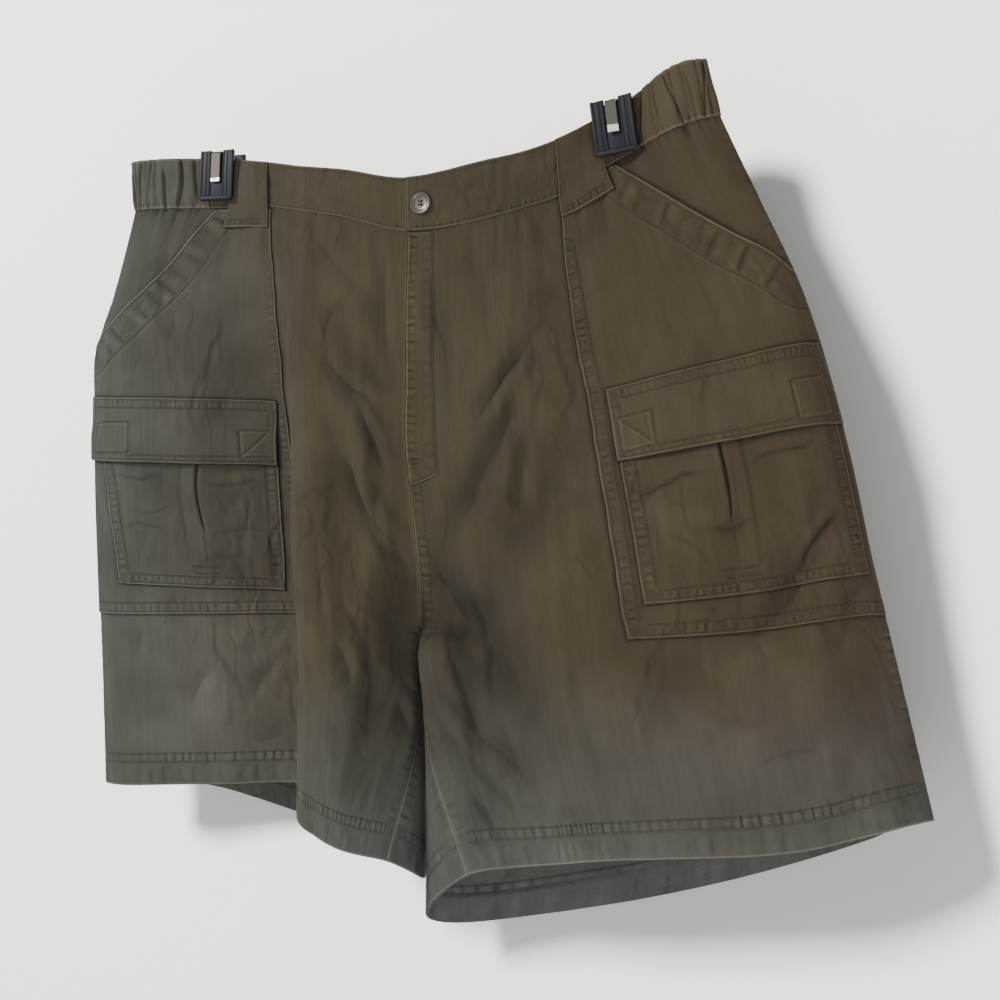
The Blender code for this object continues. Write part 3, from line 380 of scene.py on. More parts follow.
# ================================================================ noise, lines and relief
def noise(x, y, seed):
    """Smooth noise from about -1 to 1, with features about one unit across."""
    x, y = np.broadcast_arrays(np.asarray(x, float), np.asarray(y, float))
    x0 = np.floor(x).astype(np.int64)
    y0 = np.floor(y).astype(np.int64)
    fx = x - x0
    fy = y - y0

    def corner(dx, dy):
        code = ((x0 + dx) * 374761393 + (y0 + dy) * 668265263 + seed * 144665) & 0xFFFFFFFF
        code = ((code ^ (code >> 13)) * 1274126177) & 0xFFFFFFFF
        angle = ((code ^ (code >> 16)) & 0xFFFF) / 65536 * 2 * np.pi
        return np.cos(angle) * (fx - dx) + np.sin(angle) * (fy - dy)

    u = fx * fx * fx * (fx * (6 * fx - 15) + 10)
    w = fy * fy * fy * (fy * (6 * fy - 15) + 10)
    upper = corner(0, 0) * (1 - u) + corner(1, 0) * u
    lower = corner(0, 1) * (1 - u) + corner(1, 1) * u
    return 1.4 * (upper * (1 - w) + lower * w)


def near_line(path, x, y):
    """Signed distance from a path, how far along it the nearest place is, and its length.

    The distance is positive on the right-hand side of someone who walks the path on a sheet
    whose y runs downwards.
    """
    best = np.full(x.shape, 1e9)
    signed = np.zeros(x.shape)
    along = np.zeros(x.shape)
    walked = 0.0
    for (x0, y0), (x1, y1) in zip(path, path[1:]):
        length = math.hypot(x1 - x0, y1 - y0)
        ux, uy = (x1 - x0) / length, (y1 - y0) / length
        t = np.clip((x - x0) * ux + (y - y0) * uy, 0, length)
        d = np.hypot(x - x0 - t * ux, y - y0 - t * uy)
        side = np.sign((x - x0) * -uy + (y - y0) * ux)
        nearer = d < best
        best = np.where(nearer, d, best)
        signed = np.where(nearer, d * side, signed)
        along = np.where(nearer, walked + t, along)
        walked += length
    return signed, along, walked


def walked_along(points):
    """How far along a path each of its points lies."""
    return np.concatenate([[0], np.cumsum(np.linalg.norm(np.diff(points, axis=0), axis=1))])


def rounded(path, step=6.0):
    """A smooth path through the given points."""
    points = np.asarray(path, float)
    if len(points) < 3:
        return points
    knots = walked_along(points)
    at = np.linspace(0, knots[-1], max(3, int(knots[-1] / step)))
    return weights(knots, at) @ points


def shifted(path, offset):
    """The path moved to its right-hand side, with mitred corners."""
    points = np.asarray(path, float)
    run = unit_vectors(np.diff(points, axis=0))
    aside = np.column_stack([-run[:, 1], run[:, 0]])
    first = np.vstack([aside[:1], aside])
    last = np.vstack([aside, aside[-1:]])
    mitre = unit_vectors(first + last)
    return points + offset * mitre / np.maximum((mitre * first).sum(1, keepdims=True), 0.35)


def sheet_path(points):
    """Path in millimetres on the flat sheet from stations and levels."""
    return [(s * HALF_GIRTH, v * PANEL_DROP) for s, v in points]


def crease_path(row):
    """Smooth path on the flat sheet from a flat row of stations and levels in thousandths."""
    return rounded(sheet_path([(s / 1000, v / 1000) for s, v in zip(row[::2], row[1::2])]), 10.0)


def tapered(along, length, share):
    """1 along a line, and down to 0 over a share of its length at both ends."""
    return smooth(along / (share * length)) * smooth((length - along) / (share * length))


# Creases: half width, depth, then the stations and levels of a path. Each is a trough with a
# ridge beside it: on the right-hand side of the walk along the path, or on the left-hand side
# where the depth is negative. Most of the front's points were marked by eye on the photo and
# turned into stations and levels by a measuring script, through the estimated camera.
# Each crease also gets a line of painted shade along its trough.
CREASES = {
    "left": (
        (7, 2.4, 93, 289, 60, 345, 41, 403), (9, 2.7, 144, 355, 117, 408, 90, 465, 49, 499, 12, 520),
        (15, 1.7, 181, 107, 127, 162, 96, 203, 52, 236, 29, 261),
        (7, 1.7, 146, 214, 128, 257, 97, 283, 63, 284, 51, 323), (5, 1.3, 63, 483, 53, 529),
        (7, 1.3, 34, 28, 39, 124, 29, 248), (8, 1.2, 172, 38, 107, 98, 71, 115),
        (7, 1.7, 126, 390, 92, 480, 60, 528), (6, 1.4, 40, 402, 67, 470, 64, 516, 14, 530),
        (5, 1.4, 47, 510, 4, 557), (7, 1.3, 144, 688, 128, 716, 108, 757),
        (7, 1.8, 52, 758, 27, 788, 4, 821), (5, 0.8, 426, 720, 438, 769),
        (5, 1.2, 355, 793, 370, 826, 382, 858), (5, 1.3, 292, 765, 313, 821, 329, 867),
        (5, 0.8, 290, 910, 308, 921, 322, 932), (11, -1.4, 170, 445, 166, 571, 159, 694),
        (10, 1.8, 100, 615, 84, 736, 80, 859), (10, 1.6, 600, 80, 660, 220, 720, 310),
        (8, 1.9, 975, 480, 905, 545, 840, 590), (7, -1.5, 980, 410, 930, 430, 870, 490),
        (10, 1.5, 760, 680, 735, 780, 725, 880), (8, 1.2, 900, 700, 930, 780, 935, 860),
    ),
    "right": (
        (7, -2.8, 211, 205, 174, 234, 131, 256, 105, 281, 87, 320, 79, 345),
        (10, -2.9, 190, 300, 150, 320, 122, 341, 99, 379, 83, 405, 67, 448, 42, 481, 19, 510),
        (15, -2.2, 236, 332, 224, 367, 215, 400, 201, 472, 150, 508, 103, 552, 94, 593),
        (6, 0.8, 110, 430, 134, 461, 172, 484, 201, 479), (6, 1.5, 31, 20, 34, 133, 52, 223, 51, 301),
        (9, 3.6, 20, 544, 51, 585, 77, 662, 79, 743, 73, 819),
        (22, 2, 30, 560, 70, 640, 90, 730, 85, 850),
        (5, 2.1, 17, 583, 51, 661, 59, 747, 57, 807, 47, 879), (6, 1.4, 14, 521, 30, 560, 61, 629),
        (4, 1.1, 60, 640, 90, 700, 100, 740), (5, 1.3, 52, 800, 85, 850, 104, 905),
        (5, 1.3, 71, 744, 53, 807, 54, 864), (9, 1.4, 261, 690, 276, 739, 258, 800, 246, 838),
        (10, -2, 462, 579, 398, 669, 344, 722, 323, 758), (8, 1, 331, 889, 362, 868, 418, 872),
        (13, 1.3, 94, 601, 94, 726, 77, 847), (6, 1.2, 38, 397, 38, 460, 26, 521),
        (12, -1.2, 241, 118, 211, 205, 188, 279), (10, -1.6, 610, 70, 680, 200, 735, 330),
        (8, -1.9, 975, 490, 900, 540, 830, 610), (7, 1.5, 980, 420, 920, 450, 860, 470),
        (10, 1.5, 720, 640, 700, 760, 705, 890), (8, -1.2, 880, 720, 905, 800, 900, 880),
    ),
}
# Soft places of painted shade on the cloth, below 0 paler ones: half width in mm, strength and path, most
# of them measured in the same way as the creases.
SHADES = {
    "left": (
        (13, 0.26, 107, 268, 74, 323, 54, 379), (22, 0.34, 40, 598, 60, 763, 64, 902),
        (18, 0.22, 409, 450, 415, 607), (44, -0.42, 329, 723, 333, 776, 345, 853),
        (24, -0.26, 132, 601, 126, 654),
    ),
    "right": (
        (21, 0.6, 26, 559, 63, 689, 60, 795, 50, 900, 39, 949),
        (15, 0.24, 224, 400, 200, 470, 146, 520, 106, 567),
        (13, 0.24, 130, 330, 98, 385, 75, 430, 35, 495),
    ),
}
SIDE_SEED = {"left": 3, "right": 11}
INSEAM_BULGE = {"left": 1.6, "right": 3.4}      # the thighs of the cloth lean on each other
CROTCH_BULGE = 2.5
INSEAM_SHADE = {"left": 0.9, "right": 0.25}     # and shade each other there


def relief(half, s, v):
    """Height of the creases and wrinkles that all layers of cloth share, and their painted shade: in the
    troughs, over the soft dark places and between the legs; pale places go below 0.
    """
    x, y = s * HALF_GIRTH, v * PANEL_DROP
    height, dark = np.zeros(x.shape), np.zeros(x.shape)
    seed = SIDE_SEED[half]
    wobble = 1.5 * noise(x / 19, y / 19, seed + 7)
    for width, depth, *row in CREASES[half]:
        path = crease_path(row)
        low, high = np.min(path, axis=0) - 5 * width, np.max(path, axis=0) + 5 * width
        near = (x > low[0]) & (x < high[0]) & (y > low[1]) & (y < high[1])
        if not near.any():
            continue
        off, along, length = near_line(path, x[near] + wobble[near], y[near] - 0.6 * wobble[near])
        off = off / width * np.sign(depth)
        fade = tapered(along, length, 0.35)
        trough = np.exp(-1.25 * (np.sqrt(off ** 2 + 0.06) - 0.245))
        height[near] += 1.6 * abs(depth) * (0.8 * bell(off - 1.7, 1.1) - trough) * fade
        # A line of painted shade along the trough of each crease.
        crisp = 1.15 * np.clip((11 - width) / 4, 0, 1)
        line = crisp * bell(off, 0.22) + 0.55 * bell(off + 0.8, 0.9)
        dark[near] = np.maximum(dark[near], 0.27 * min(abs(depth), 2.6) * line * fade)
    for width, strength, *row in SHADES[half]:
        off = near_line(crease_path(row), x, y)[0]
        off = off / width + 0.35 * noise(x / 25, y / 40, seed + 8)
        fine = noise((x - 0.22 * y) / 8.5, (y + 0.5 * x) / 48, seed + 9)
        within = bell(off, 1)
        # Painted shade over each soft dark place, deeper in its fine wrinkles; a pale place lightens
        # instead.
        dark += strength * within * (0.85 + 0.9 * np.clip(-fine, 0, 1) * (strength > 0))
        height += 3.2 * max(strength, 0) * within * fine
    warp = 14 * noise(x / 90, y / 90, seed + 5)
    slanting = noise((x + 0.4 * y + warp) / 24, (y - 0.3 * x) / 46, seed + 1)
    height += 1.5 * noise((x + warp) / 58, y / 110, seed) + 1.0 * slanting
    height += 0.30 * noise((x - 0.3 * y + warp) / 10, y / 19, seed + 2)
    hanging = np.exp(-np.maximum(y, 0) / 60) * smooth(y / 10)
    drapes = noise((x + 0.1 * y) / 11, y / 90, seed + 3) * hanging
    height += 1.7 * drapes
    # Painted shade in the troughs of the slanting wrinkles and of the drapes below the waist.
    dark += 0.16 * np.clip(-slanting, 0, 1) + 0.35 * np.clip(-drapes, 0, 1)
    from_edge = np.minimum(s, 1 - s)
    clear = np.minimum(from_edge, np.abs(s - SIDE)) * HALF_GIRTH
    calm = smooth((clear + 1.0) / 16) * smooth((y + 4) / 14)
    inseam = smooth(1.15 - from_edge / (0.022 + 0.078 * smooth((v - CROTCH) / 0.30)))
    lean = inseam * smooth((v - CROTCH + 0.04) / 0.05) + 1.1 * inseam * smooth((v - 0.72) / 0.16)
    bulge = CROTCH_BULGE + (INSEAM_BULGE[half] - CROTCH_BULGE) * smooth((v - CROTCH) / 0.08)
    # Painted shade between the legs, where they lean on each other.
    between = bell(from_edge, 0.011) * smooth((v - CROTCH) / 0.02)
    between *= smooth((0.93 - v) / 0.12) * INSEAM_SHADE[half]
    return height * calm + bulge * lean, dark * calm + between


def gather_lobes(s):
    """Gathers of the elastic: 0 in the narrow grooves and 1 on the broad lobes between them."""
    share = np.clip((s - ELASTIC_FRONT) / (ELASTIC_BACK - ELASTIC_FRONT), 0, 1)
    turn = 14 * share + 0.33 * np.sin(19 * share) + 0.21 * np.sin(47 * share + 1)
    ends = smooth(np.minimum(share, 1 - share) / 0.05)
    return np.abs(np.sin(np.pi * turn)) ** 0.55, ends


# ================================================================ bases the cloth lies on
def panel_base(half):
    """Points and normals of the leg panels' outer face."""
    def at(s, v):
        points = surface(half, s, v)
        normal = normals(surface, half, s, v)
        for edge in (0.0, 1.0):
            close = np.abs(s - edge) < 0.006
            if close.any():
                share = smooth(1 - np.abs(s[close] - edge) / 0.006)[:, None]
                level = v[close]
                mine = normals(surface, half, np.full(level.shape, edge), level)
                beside = normals(surface, OTHER[half], np.full(level.shape, edge), level)
                behind = normals(surface, half, np.full(level.shape, 1 - edge), level)
                shared = unit_vectors(mine + np.where((level < CROTCH)[:, None], beside, behind))
                down = bell(level - CROTCH, 0.007)[:, None]
                shared = unit_vectors(shared * (1 - down) + np.array((0.0, 0.0, -1.0)) * down)
                normal[close] = unit_vectors(normal[close] * (1 - share) + shared * share)
        return points, normal
    return at


def band_base(half):
    """Points and normals of the waistband's middle face; t is 0 at its top edge."""
    def at(s, t):
        return band_surface(half, s, 1 - t), normals(band_surface, half, s, np.full_like(s, 0.5))
    return at


def loop_base(half, foot, foot_lift):
    """Points and normals under a belt loop, from the band's top edge (0) to its foot (1)."""
    knots = np.array((0.0, 0.22, 0.47, 0.69, 0.82, 1.0))
    lifts = (BAND_OUT + GAP, *(3 * [BAND_OUT + GAP + LOOP_LIFT]), foot_lift, foot_lift)

    def at(s, t):
        shape = s.shape
        flat_s, flat_t = s.ravel(), t.ravel()
        band, panel = band_base(half), panel_base(half)
        rows = [band(flat_s, np.full_like(flat_s, 1 - w)) for w in LOOP_ROWS]
        rows += [panel(flat_s, np.full_like(flat_s, v)) for v in (0.012, foot)]
        share = weights(knots, flat_t)
        points = sum(share[:, k:k + 1] * (rows[k][0] + lifts[k] * rows[k][1]) for k in range(6))
        normal = unit_vectors(sum(share[:, k:k + 1] * rows[k][1] for k in range(6)))
        return points.reshape(shape + (3,)), normal.reshape(shape + (3,))
    return at


# ================================================================ meshes
def spaced(length, step, rim, extra=()):
    """Shares from 0 to 1 along a length, closer together at both ends; an odd count."""
    close = [0.0, 0.12 * rim, 0.4 * rim, rim, 2 * rim]
    middle = np.linspace(close[-1], length - close[-1], max(3, int((length - 2 * close[-1]) / step)))
    places = close[:-1] + list(middle) + [length - e for e in reversed(close[:-1])]
    places = sorted(set(np.round(places + [e for e in extra if 0 < e < length], 3)))
    if len(places) % 2 == 0:
        wide = int(np.argmax(np.diff(places)))
        places.insert(wide + 1, (places[wide] + places[wide + 1]) / 2)
    return np.array(places) / length


def put(name, data):
    """A new object in the scene."""
    made = bpy.data.objects.new(name, data)
    bpy.context.scene.collection.objects.link(made)
    return made


def declare(made, slot, *replaced):
    """Hang a piece on the root body and hide the CAD nodes that it stands for; slot is not used."""
    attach(made, "root")
    if replaced:
        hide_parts(*replaced)


def make_object(name, points, faces, finish):
    """Mesh object from points in millimetres and arrays of triangles and quads."""
    mesh = bpy.data.meshes.new(name)
    mesh.vertices.add(len(points))
    mesh.vertices.foreach_set("co", np.ascontiguousarray(points * MM, dtype=np.float32).ravel())
    corners = np.concatenate([part.ravel() for part in faces]).astype(np.int32)
    sizes = np.concatenate([np.full(len(part), part.shape[1]) for part in faces]).astype(np.int32)
    mesh.loops.add(len(corners))
    mesh.loops.foreach_set("vertex_index", corners)
    mesh.polygons.add(len(sizes))
    starts = np.concatenate([[0], np.cumsum(sizes)[:-1]]).astype(np.int32)
    mesh.polygons.foreach_set("loop_start", starts)
    mesh.polygons.foreach_set("loop_total", sizes)
    mesh.update(calc_edges=True)
    mesh.shade_smooth()
    mesh.materials.append(finish)
    return put(name, mesh)


def add_values(made, name, values, kind="FLOAT"):
    """A value, or a vector, on every point of a mesh."""
    layer = made.data.attributes.new(name, kind, "POINT")
    field = "value" if kind == "FLOAT" else "vector"
    layer.data.foreach_set(field, np.ascontiguousarray(values, dtype=np.float32).ravel())


def grid_quads(rows, columns, start=0, flip=False):
    """Quads of a grid of points."""
    index = start + np.arange(rows * columns).reshape(rows, columns)
    quads = np.stack([index[:-1, :-1], index[:-1, 1:], index[1:, 1:], index[1:, :-1]], axis=-1)
    quads = quads.reshape(-1, 4)
    return quads[:, ::-1] if flip else quads


def rim_faces(outer, inner, flip):
    """Triangles between the border of a fine grid and that of one with every second point."""
    rim = []
    for fine, coarse in ((outer[0], inner[0]), (outer[:, -1], inner[:, -1]),
                         (outer[-1, ::-1], inner[-1, ::-1]), (outer[::-1, 0], inner[::-1, 0])):
        a, b, c = fine[:-2:2], fine[1:-1:2], fine[2::2]
        d, e = coarse[:-1], coarse[1:]
        rim += [np.stack([b, a, d], 1), np.stack([b, d, e], 1), np.stack([c, b, e], 1)]
    rim = np.concatenate(rim)
    return rim[:, ::-1] if flip else rim


def plain_cloth(s, v, x, y):
    """No detail of its own: its height, its worn places and painted highlights, and its painted shade are
    0.
    """
    return 0, 0, 0


@dataclass
class Seam:
    """A seam along a path on the flat sheet; offsets are to the right-hand side of the path."""

    path: list
    rows: tuple             # offsets of the rows of stitches
    reach: tuple            # offsets between which the cloth puckers
    wave: float             # length of one pucker
    height: float           # of the puckers


@dataclass
class Cloth:
    """One cut piece of cloth on a base, with its own seams, puckers and details."""

    node: str               # CAD node that the piece stands for
    half: str
    base: object            # gives points and normals under the piece from s and v
    place: object           # gives s and v from shares across and down the piece
    size: tuple             # across and down, in mm
    lift: float             # of the outer face over the base
    wall: float
    scale: tuple = (HALF_GIRTH, PANEL_DROP)
    seams: tuple = ()
    own: object = plain_cloth    # gives height, worn places with painted highlights, and painted shade of the piece's own details
    rim: float = 0.9        # radius of the rounded edges
    drop: float = 0.5       # how far the edge curls in, as a share of the wall
    seed: int = 0
    creased: bool = True
    inner: object = plain_cloth  # own's counterpart for the inner face, where height counts
    outline: tuple = None   # the edge, where it isn't the border of the grid
    covered: tuple = ()     # outlines of the pieces that lie on this one and shade it
    name: str = ""

    def heights(self, s, v):
        """Height over the base without the shared relief, worn places with painted highlights, and painted
        shade.
        """
        x, y = s * self.scale[0], v * self.scale[1]
        height, wear_and_highlight, shade = (np.zeros(x.shape) + field for field in self.own(s, v, x, y))
        # Painted shadow along the edges of the pieces that lie on this one.
        for path in self.covered:
            near = np.abs(near_line(path, x, y)[0])
            shade += 0.75 * bell(near, 1.5) + 0.15 * np.exp(-near / 6)
        nearest, second = np.full(x.shape, 1e9), np.full(x.shape, 2e9)
        rows = np.zeros(x.shape + (3,)) + (0, FAR, FAR)
        pucker = np.zeros(x.shape)
        for n, seam in enumerate(self.seams):
            off, along, length = near_line(seam.path, x, y)
            seed = 31 * self.seed + 7 * n
            low, high = seam.reach
            window = smooth((off - low) / 3.0) * smooth((high - off) / 3.5)
            ripple = noise(along / 9, off / 13, seed) + 0.6 * noise(along / 5, off / 9, seed + 1)
            strength = np.clip(0.8 + 0.7 * noise(along / 38, 3.5, seed + 2), 0.2, 1.5)
            height += seam.height * ripple * window * strength
            # Painted shade in the troughs of the puckers, and a little over the whole puckered band.
            shade += 0.18 * window * seam.height / 0.35 * (np.clip(-ripple, 0, 1) + 0.25)
            band = np.abs(off - (low + high) / 2) / (high - low)
            band = band + (along < 0.01) + (along > length - 0.01)
            here = band < nearest
            second = np.where(here, nearest, np.minimum(second, band))
            nearest = np.where(here, band, nearest)
            lines = (*seam.rows, FAR, FAR)[:2]
            found = np.stack([along / seam.wave + seed, off - lines[0], off - lines[1]], -1)
            rows = np.where(here[..., None], found, rows)
            pucker = np.where(here, window * strength * seam.height, pucker)
        single = smooth((second - nearest) / 0.6)
        return x, y, height, wear_and_highlight, shade, rows, pucker * single, single

    def shared(self, s, v):
        """Height and painted shade, with pale places below 0, that the piece shares with all others of its
        half.
        """
        return relief(self.half, s, v) if self.creased else (np.zeros(s.shape), np.zeros(s.shape))

    def build(self, step, slot, extra=((), ())):
        """The closed shell, with its worn places and painted highlights, painted shade and weave on every
        point, and its stitches.
        """
        across = spaced(self.size[0], step, self.rim, extra[0])
        down = spaced(self.size[1], step, self.rim, extra[1])
        a, b = np.meshgrid(across, down)
        s, v = self.place(a, b)
        x, y, height, wear_and_highlight, shade, rows, pucker, single = self.heights(s, v)
        points, normal = self.base(s, v)
        shared, painted_shade_and_pale = self.shared(s, v)
        # The shared relief's painted shade darkens the piece; its pale places lighten it.
        shade = shade + np.maximum(painted_shade_and_pale, 0)
        wear_and_highlight = wear_and_highlight + np.maximum(-painted_shade_and_pale, 0)
        if self.outline is None:
            edge = np.minimum(np.minimum(a, 1 - a) * self.size[0], np.minimum(b, 1 - b) * self.size[1])
        else:
            edge = np.abs(near_line(self.outline, x, y)[0])
        curl = 1 - np.sqrt(1 - (1 - np.clip(edge / self.rim, 0, 1)) ** 2)
        over = self.lift + height + shared - self.drop * self.wall * curl
        under = self.lift - self.wall + shared + self.inner(s, v, x, y)[0]
        under = np.minimum(under, over - 0.1)
        outer = points + normal * over[..., None]
        inner = (points + normal * under[..., None])[::2, ::2]
        tall, wide = a.shape
        low_tall, low_wide = inner.shape[:2]
        count = tall * wide
        flip = self.half == "right"
        faces = [grid_quads(tall, wide, 0, flip), grid_quads(low_tall, low_wide, count, not flip),
                 rim_faces(np.arange(count).reshape(tall, wide),
                           count + np.arange(low_tall * low_wide).reshape(low_tall, low_wide), flip)]
        name = self.name or f"cloth_{self.node}"
        shell = np.concatenate([outer.reshape(-1, 3), inner.reshape(-1, 3)])
        made = make_object(name, shell, faces, cloth)
        worn = bell(edge - 0.75 * self.rim, 0.55 * self.rim)
        # Painted shade along the very edge, where the rim meets what lies under it.
        dark = np.clip(1 - edge / (0.3 * self.rim), 0, 1)
        for label, field, inside in (("wear_and_highlight", wear_and_highlight + worn, 0), ("shade", shade + 0.9 * dark, 1),
                                     ("pucker", pucker, 1), ("sewn", single, 1)):
            field = np.clip(field, 0, 1.5)
            within = inside * field[::2, ::2] * (edge[::2, ::2] > 0.01)
            add_values(made, label, np.concatenate([field.ravel(), within.ravel()]))
        weave = np.stack([x * MM, y * MM, np.full(s.shape, 0.1 * self.seed)], axis=-1)
        for label, field in (("weave", weave), ("seam", rows)):
            both = np.concatenate([field.reshape(-1, 3), field[::2, ::2].reshape(-1, 3)])
            add_values(made, label, both, "FLOAT_VECTOR")
        made.data.set_sharp_from_angle(angle=math.radians(62))
        declare(made, slot, self.node)
        rows_of[name] = [self.sew(shifted(seam.path, row) if row else seam.path)
                         for seam in self.seams for row in seam.rows]

    def sew(self, path, pitch=3.1, length=2.25):
        """Stitches along a path over the face: three points each, and the way out."""
        points = np.asarray(path, float)
        knots = walked_along(points)
        at = np.linspace(0, knots[-1], max(3, int(knots[-1] / 0.7)))
        s, v = (np.interp(at, knots, points[:, k]) / self.scale[k] for k in (0, 1))
        height = self.heights(s, v)[2]
        under, normal = self.base(s, v)
        face = under + normal * (height + self.shared(s, v)[0] + self.lift)[..., None]
        walked = walked_along(face)
        starts = np.arange(0.3, max(walked[-1] - length, 0.4), pitch)
        ends = [np.stack([np.interp(starts + shift, walked, face[:, k]) for k in range(3)], 1)
                for shift in (0.0, length / 2, length)]
        out = np.stack([np.interp(starts, walked, normal[:, k]) for k in range(3)], axis=1)
        return np.stack(ends, axis=1), unit_vectors(out)


def make_stitches(name, rows, slot, thick=0.23):
    """Every stitch of the rows as one mesh of small sunk threads."""
    ends = np.concatenate([row[0] for row in rows])
    out = np.concatenate([row[1] for row in rows])
    along = unit_vectors(ends[:, 2] - ends[:, 0])
    aside = unit_vectors(np.cross(along, out))
    rings = []
    for k, width, rise in ((0, 0.45, -0.12), (1, 1.15, 0.18), (2, 0.45, -0.12)):
        for turn in (45, 135, 225, 315):
            angle = math.radians(turn)
            side = aside * math.cos(angle) * thick * 1.2 + out * math.sin(angle) * thick
            rings.append(ends[:, k] + out * rise + side * width)
    points = np.stack(rings, axis=1)
    one = [(4 * r + k, 4 * r + (k + 1) % 4, 4 * r + 4 + (k + 1) % 4, 4 * r + 4 + k)
           for r in range(2) for k in range(4)]
    one = np.array(one + [(3, 2, 1, 0), (8, 9, 10, 11)])
    faces = (one[None] + 12 * np.arange(len(points))[:, None, None]).reshape(-1, 4)
    declare(make_object(name, points.reshape(-1, 3), [faces], thread), slot)


# ================================================================ materials
class Graph:
    """Short forms for the nodes of one material; settings go to its shader."""

    def __init__(self, name, **settings):
        self.material = bpy.data.materials.new(name)
        self.material.use_nodes = True
        self.tree = self.material.node_tree
        self.shader = self.tree.nodes["Principled BSDF"]
        self.fill(self.shader, settings)

    def fill(self, made, values):
        """Settings of a node: names with a capital are input sockets."""
        for key, value in values.items():
            if key[0].isupper():
                self.feed(value, made.inputs[key.replace("_", " ")])
            else:
                setattr(made, key, value)

    def feed(self, value, socket):
        """Link an output to a socket, or set the socket's own value."""
        if isinstance(value, bpy.types.NodeSocket):
            self.tree.links.new(value, socket)
        else:
            socket.default_value = value

    def node(self, kind, **values):
        made = self.tree.nodes.new("ShaderNode" + kind)
        self.fill(made, values)
        return made

    def attribute(self, name, output="Fac"):
        """A value that the mesh carries on its points."""
        return self.node("Attribute", attribute_name=name).outputs[output]

    def place(self):
        """Coordinates in the object's own frame."""
        return self.node("TexCoord").outputs["Object"]

    def math(self, operation, *values, clamp=False):
        """The output of one math node whose inputs are numbers or outputs."""
        made = self.node("Math", operation=operation, use_clamp=clamp)
        for socket, value in zip(made.inputs, values):
            self.feed(value, socket)
        return made.outputs["Value"]

    def times(self, first, *others):
        """The product of numbers and outputs."""
        for other in others:
            first = self.math("MULTIPLY", first, other)
        return first

    def ramp(self, source, low, high, first=0.0, last=1.0, kind="SMOOTHSTEP"):
        """A value that goes from low to high while the source goes from first to last."""
        return self.node("MapRange", interpolation_type=kind, From_Min=first, From_Max=last,
                         To_Min=low, To_Max=high, Value=source).outputs["Result"]

    def noise(self, vector, scale, detail=3.0, roughness=0.6, stretch=None):
        """Noise over a vector, which is stretched first."""
        if stretch:
            vector = self.node("Mapping", Vector=vector, Scale=stretch).outputs["Vector"]
        return self.node("TexNoise", Vector=vector, Scale=scale, Detail=detail,
                         Roughness=roughness).outputs["Fac"]

    def mix(self, factor, first, second):
        """Mix of two colours, given as numbers or outputs."""
        first, second = ((*c, 1) if isinstance(c, tuple) else c for c in (first, second))
        return self.node("Mix", data_type="RGBA", Factor=factor, A=first, B=second).outputs["Result"]

    def scaled(self, colour, value):
        """A colour times a value."""
        made = self.node("VectorMath", operation="SCALE", Scale=value)
        self.feed(colour, made.inputs[0])
        return made.outputs["Vector"]

    def bump(self, height, strength, distance, **before):
        return self.node("Bump", Height=height, Strength=strength, Distance=distance,
                         **before).outputs["Normal"]


BROWN = (0.0272, 0.0196, 0.0112)
OLIVE = (0.0252, 0.0210, 0.0120)
# The grey is a painted cool sheen over the brown and olive.
SHEEN_GREY = (0.0340, 0.0352, 0.0311)
SHEEN_LOW = (-0.38, -0.62)       # heights between which painted cool sheen turns the legs grey
SHEEN_ASIDE = (-0.04, -0.37)     # x between which painted cool sheen turns the left side grey
WARM = (0.04, 0.36)        # x between which the olive turns brown
STRIP_FADE = 0.0008        # height over which the worn band of a steel strip fades, in metres


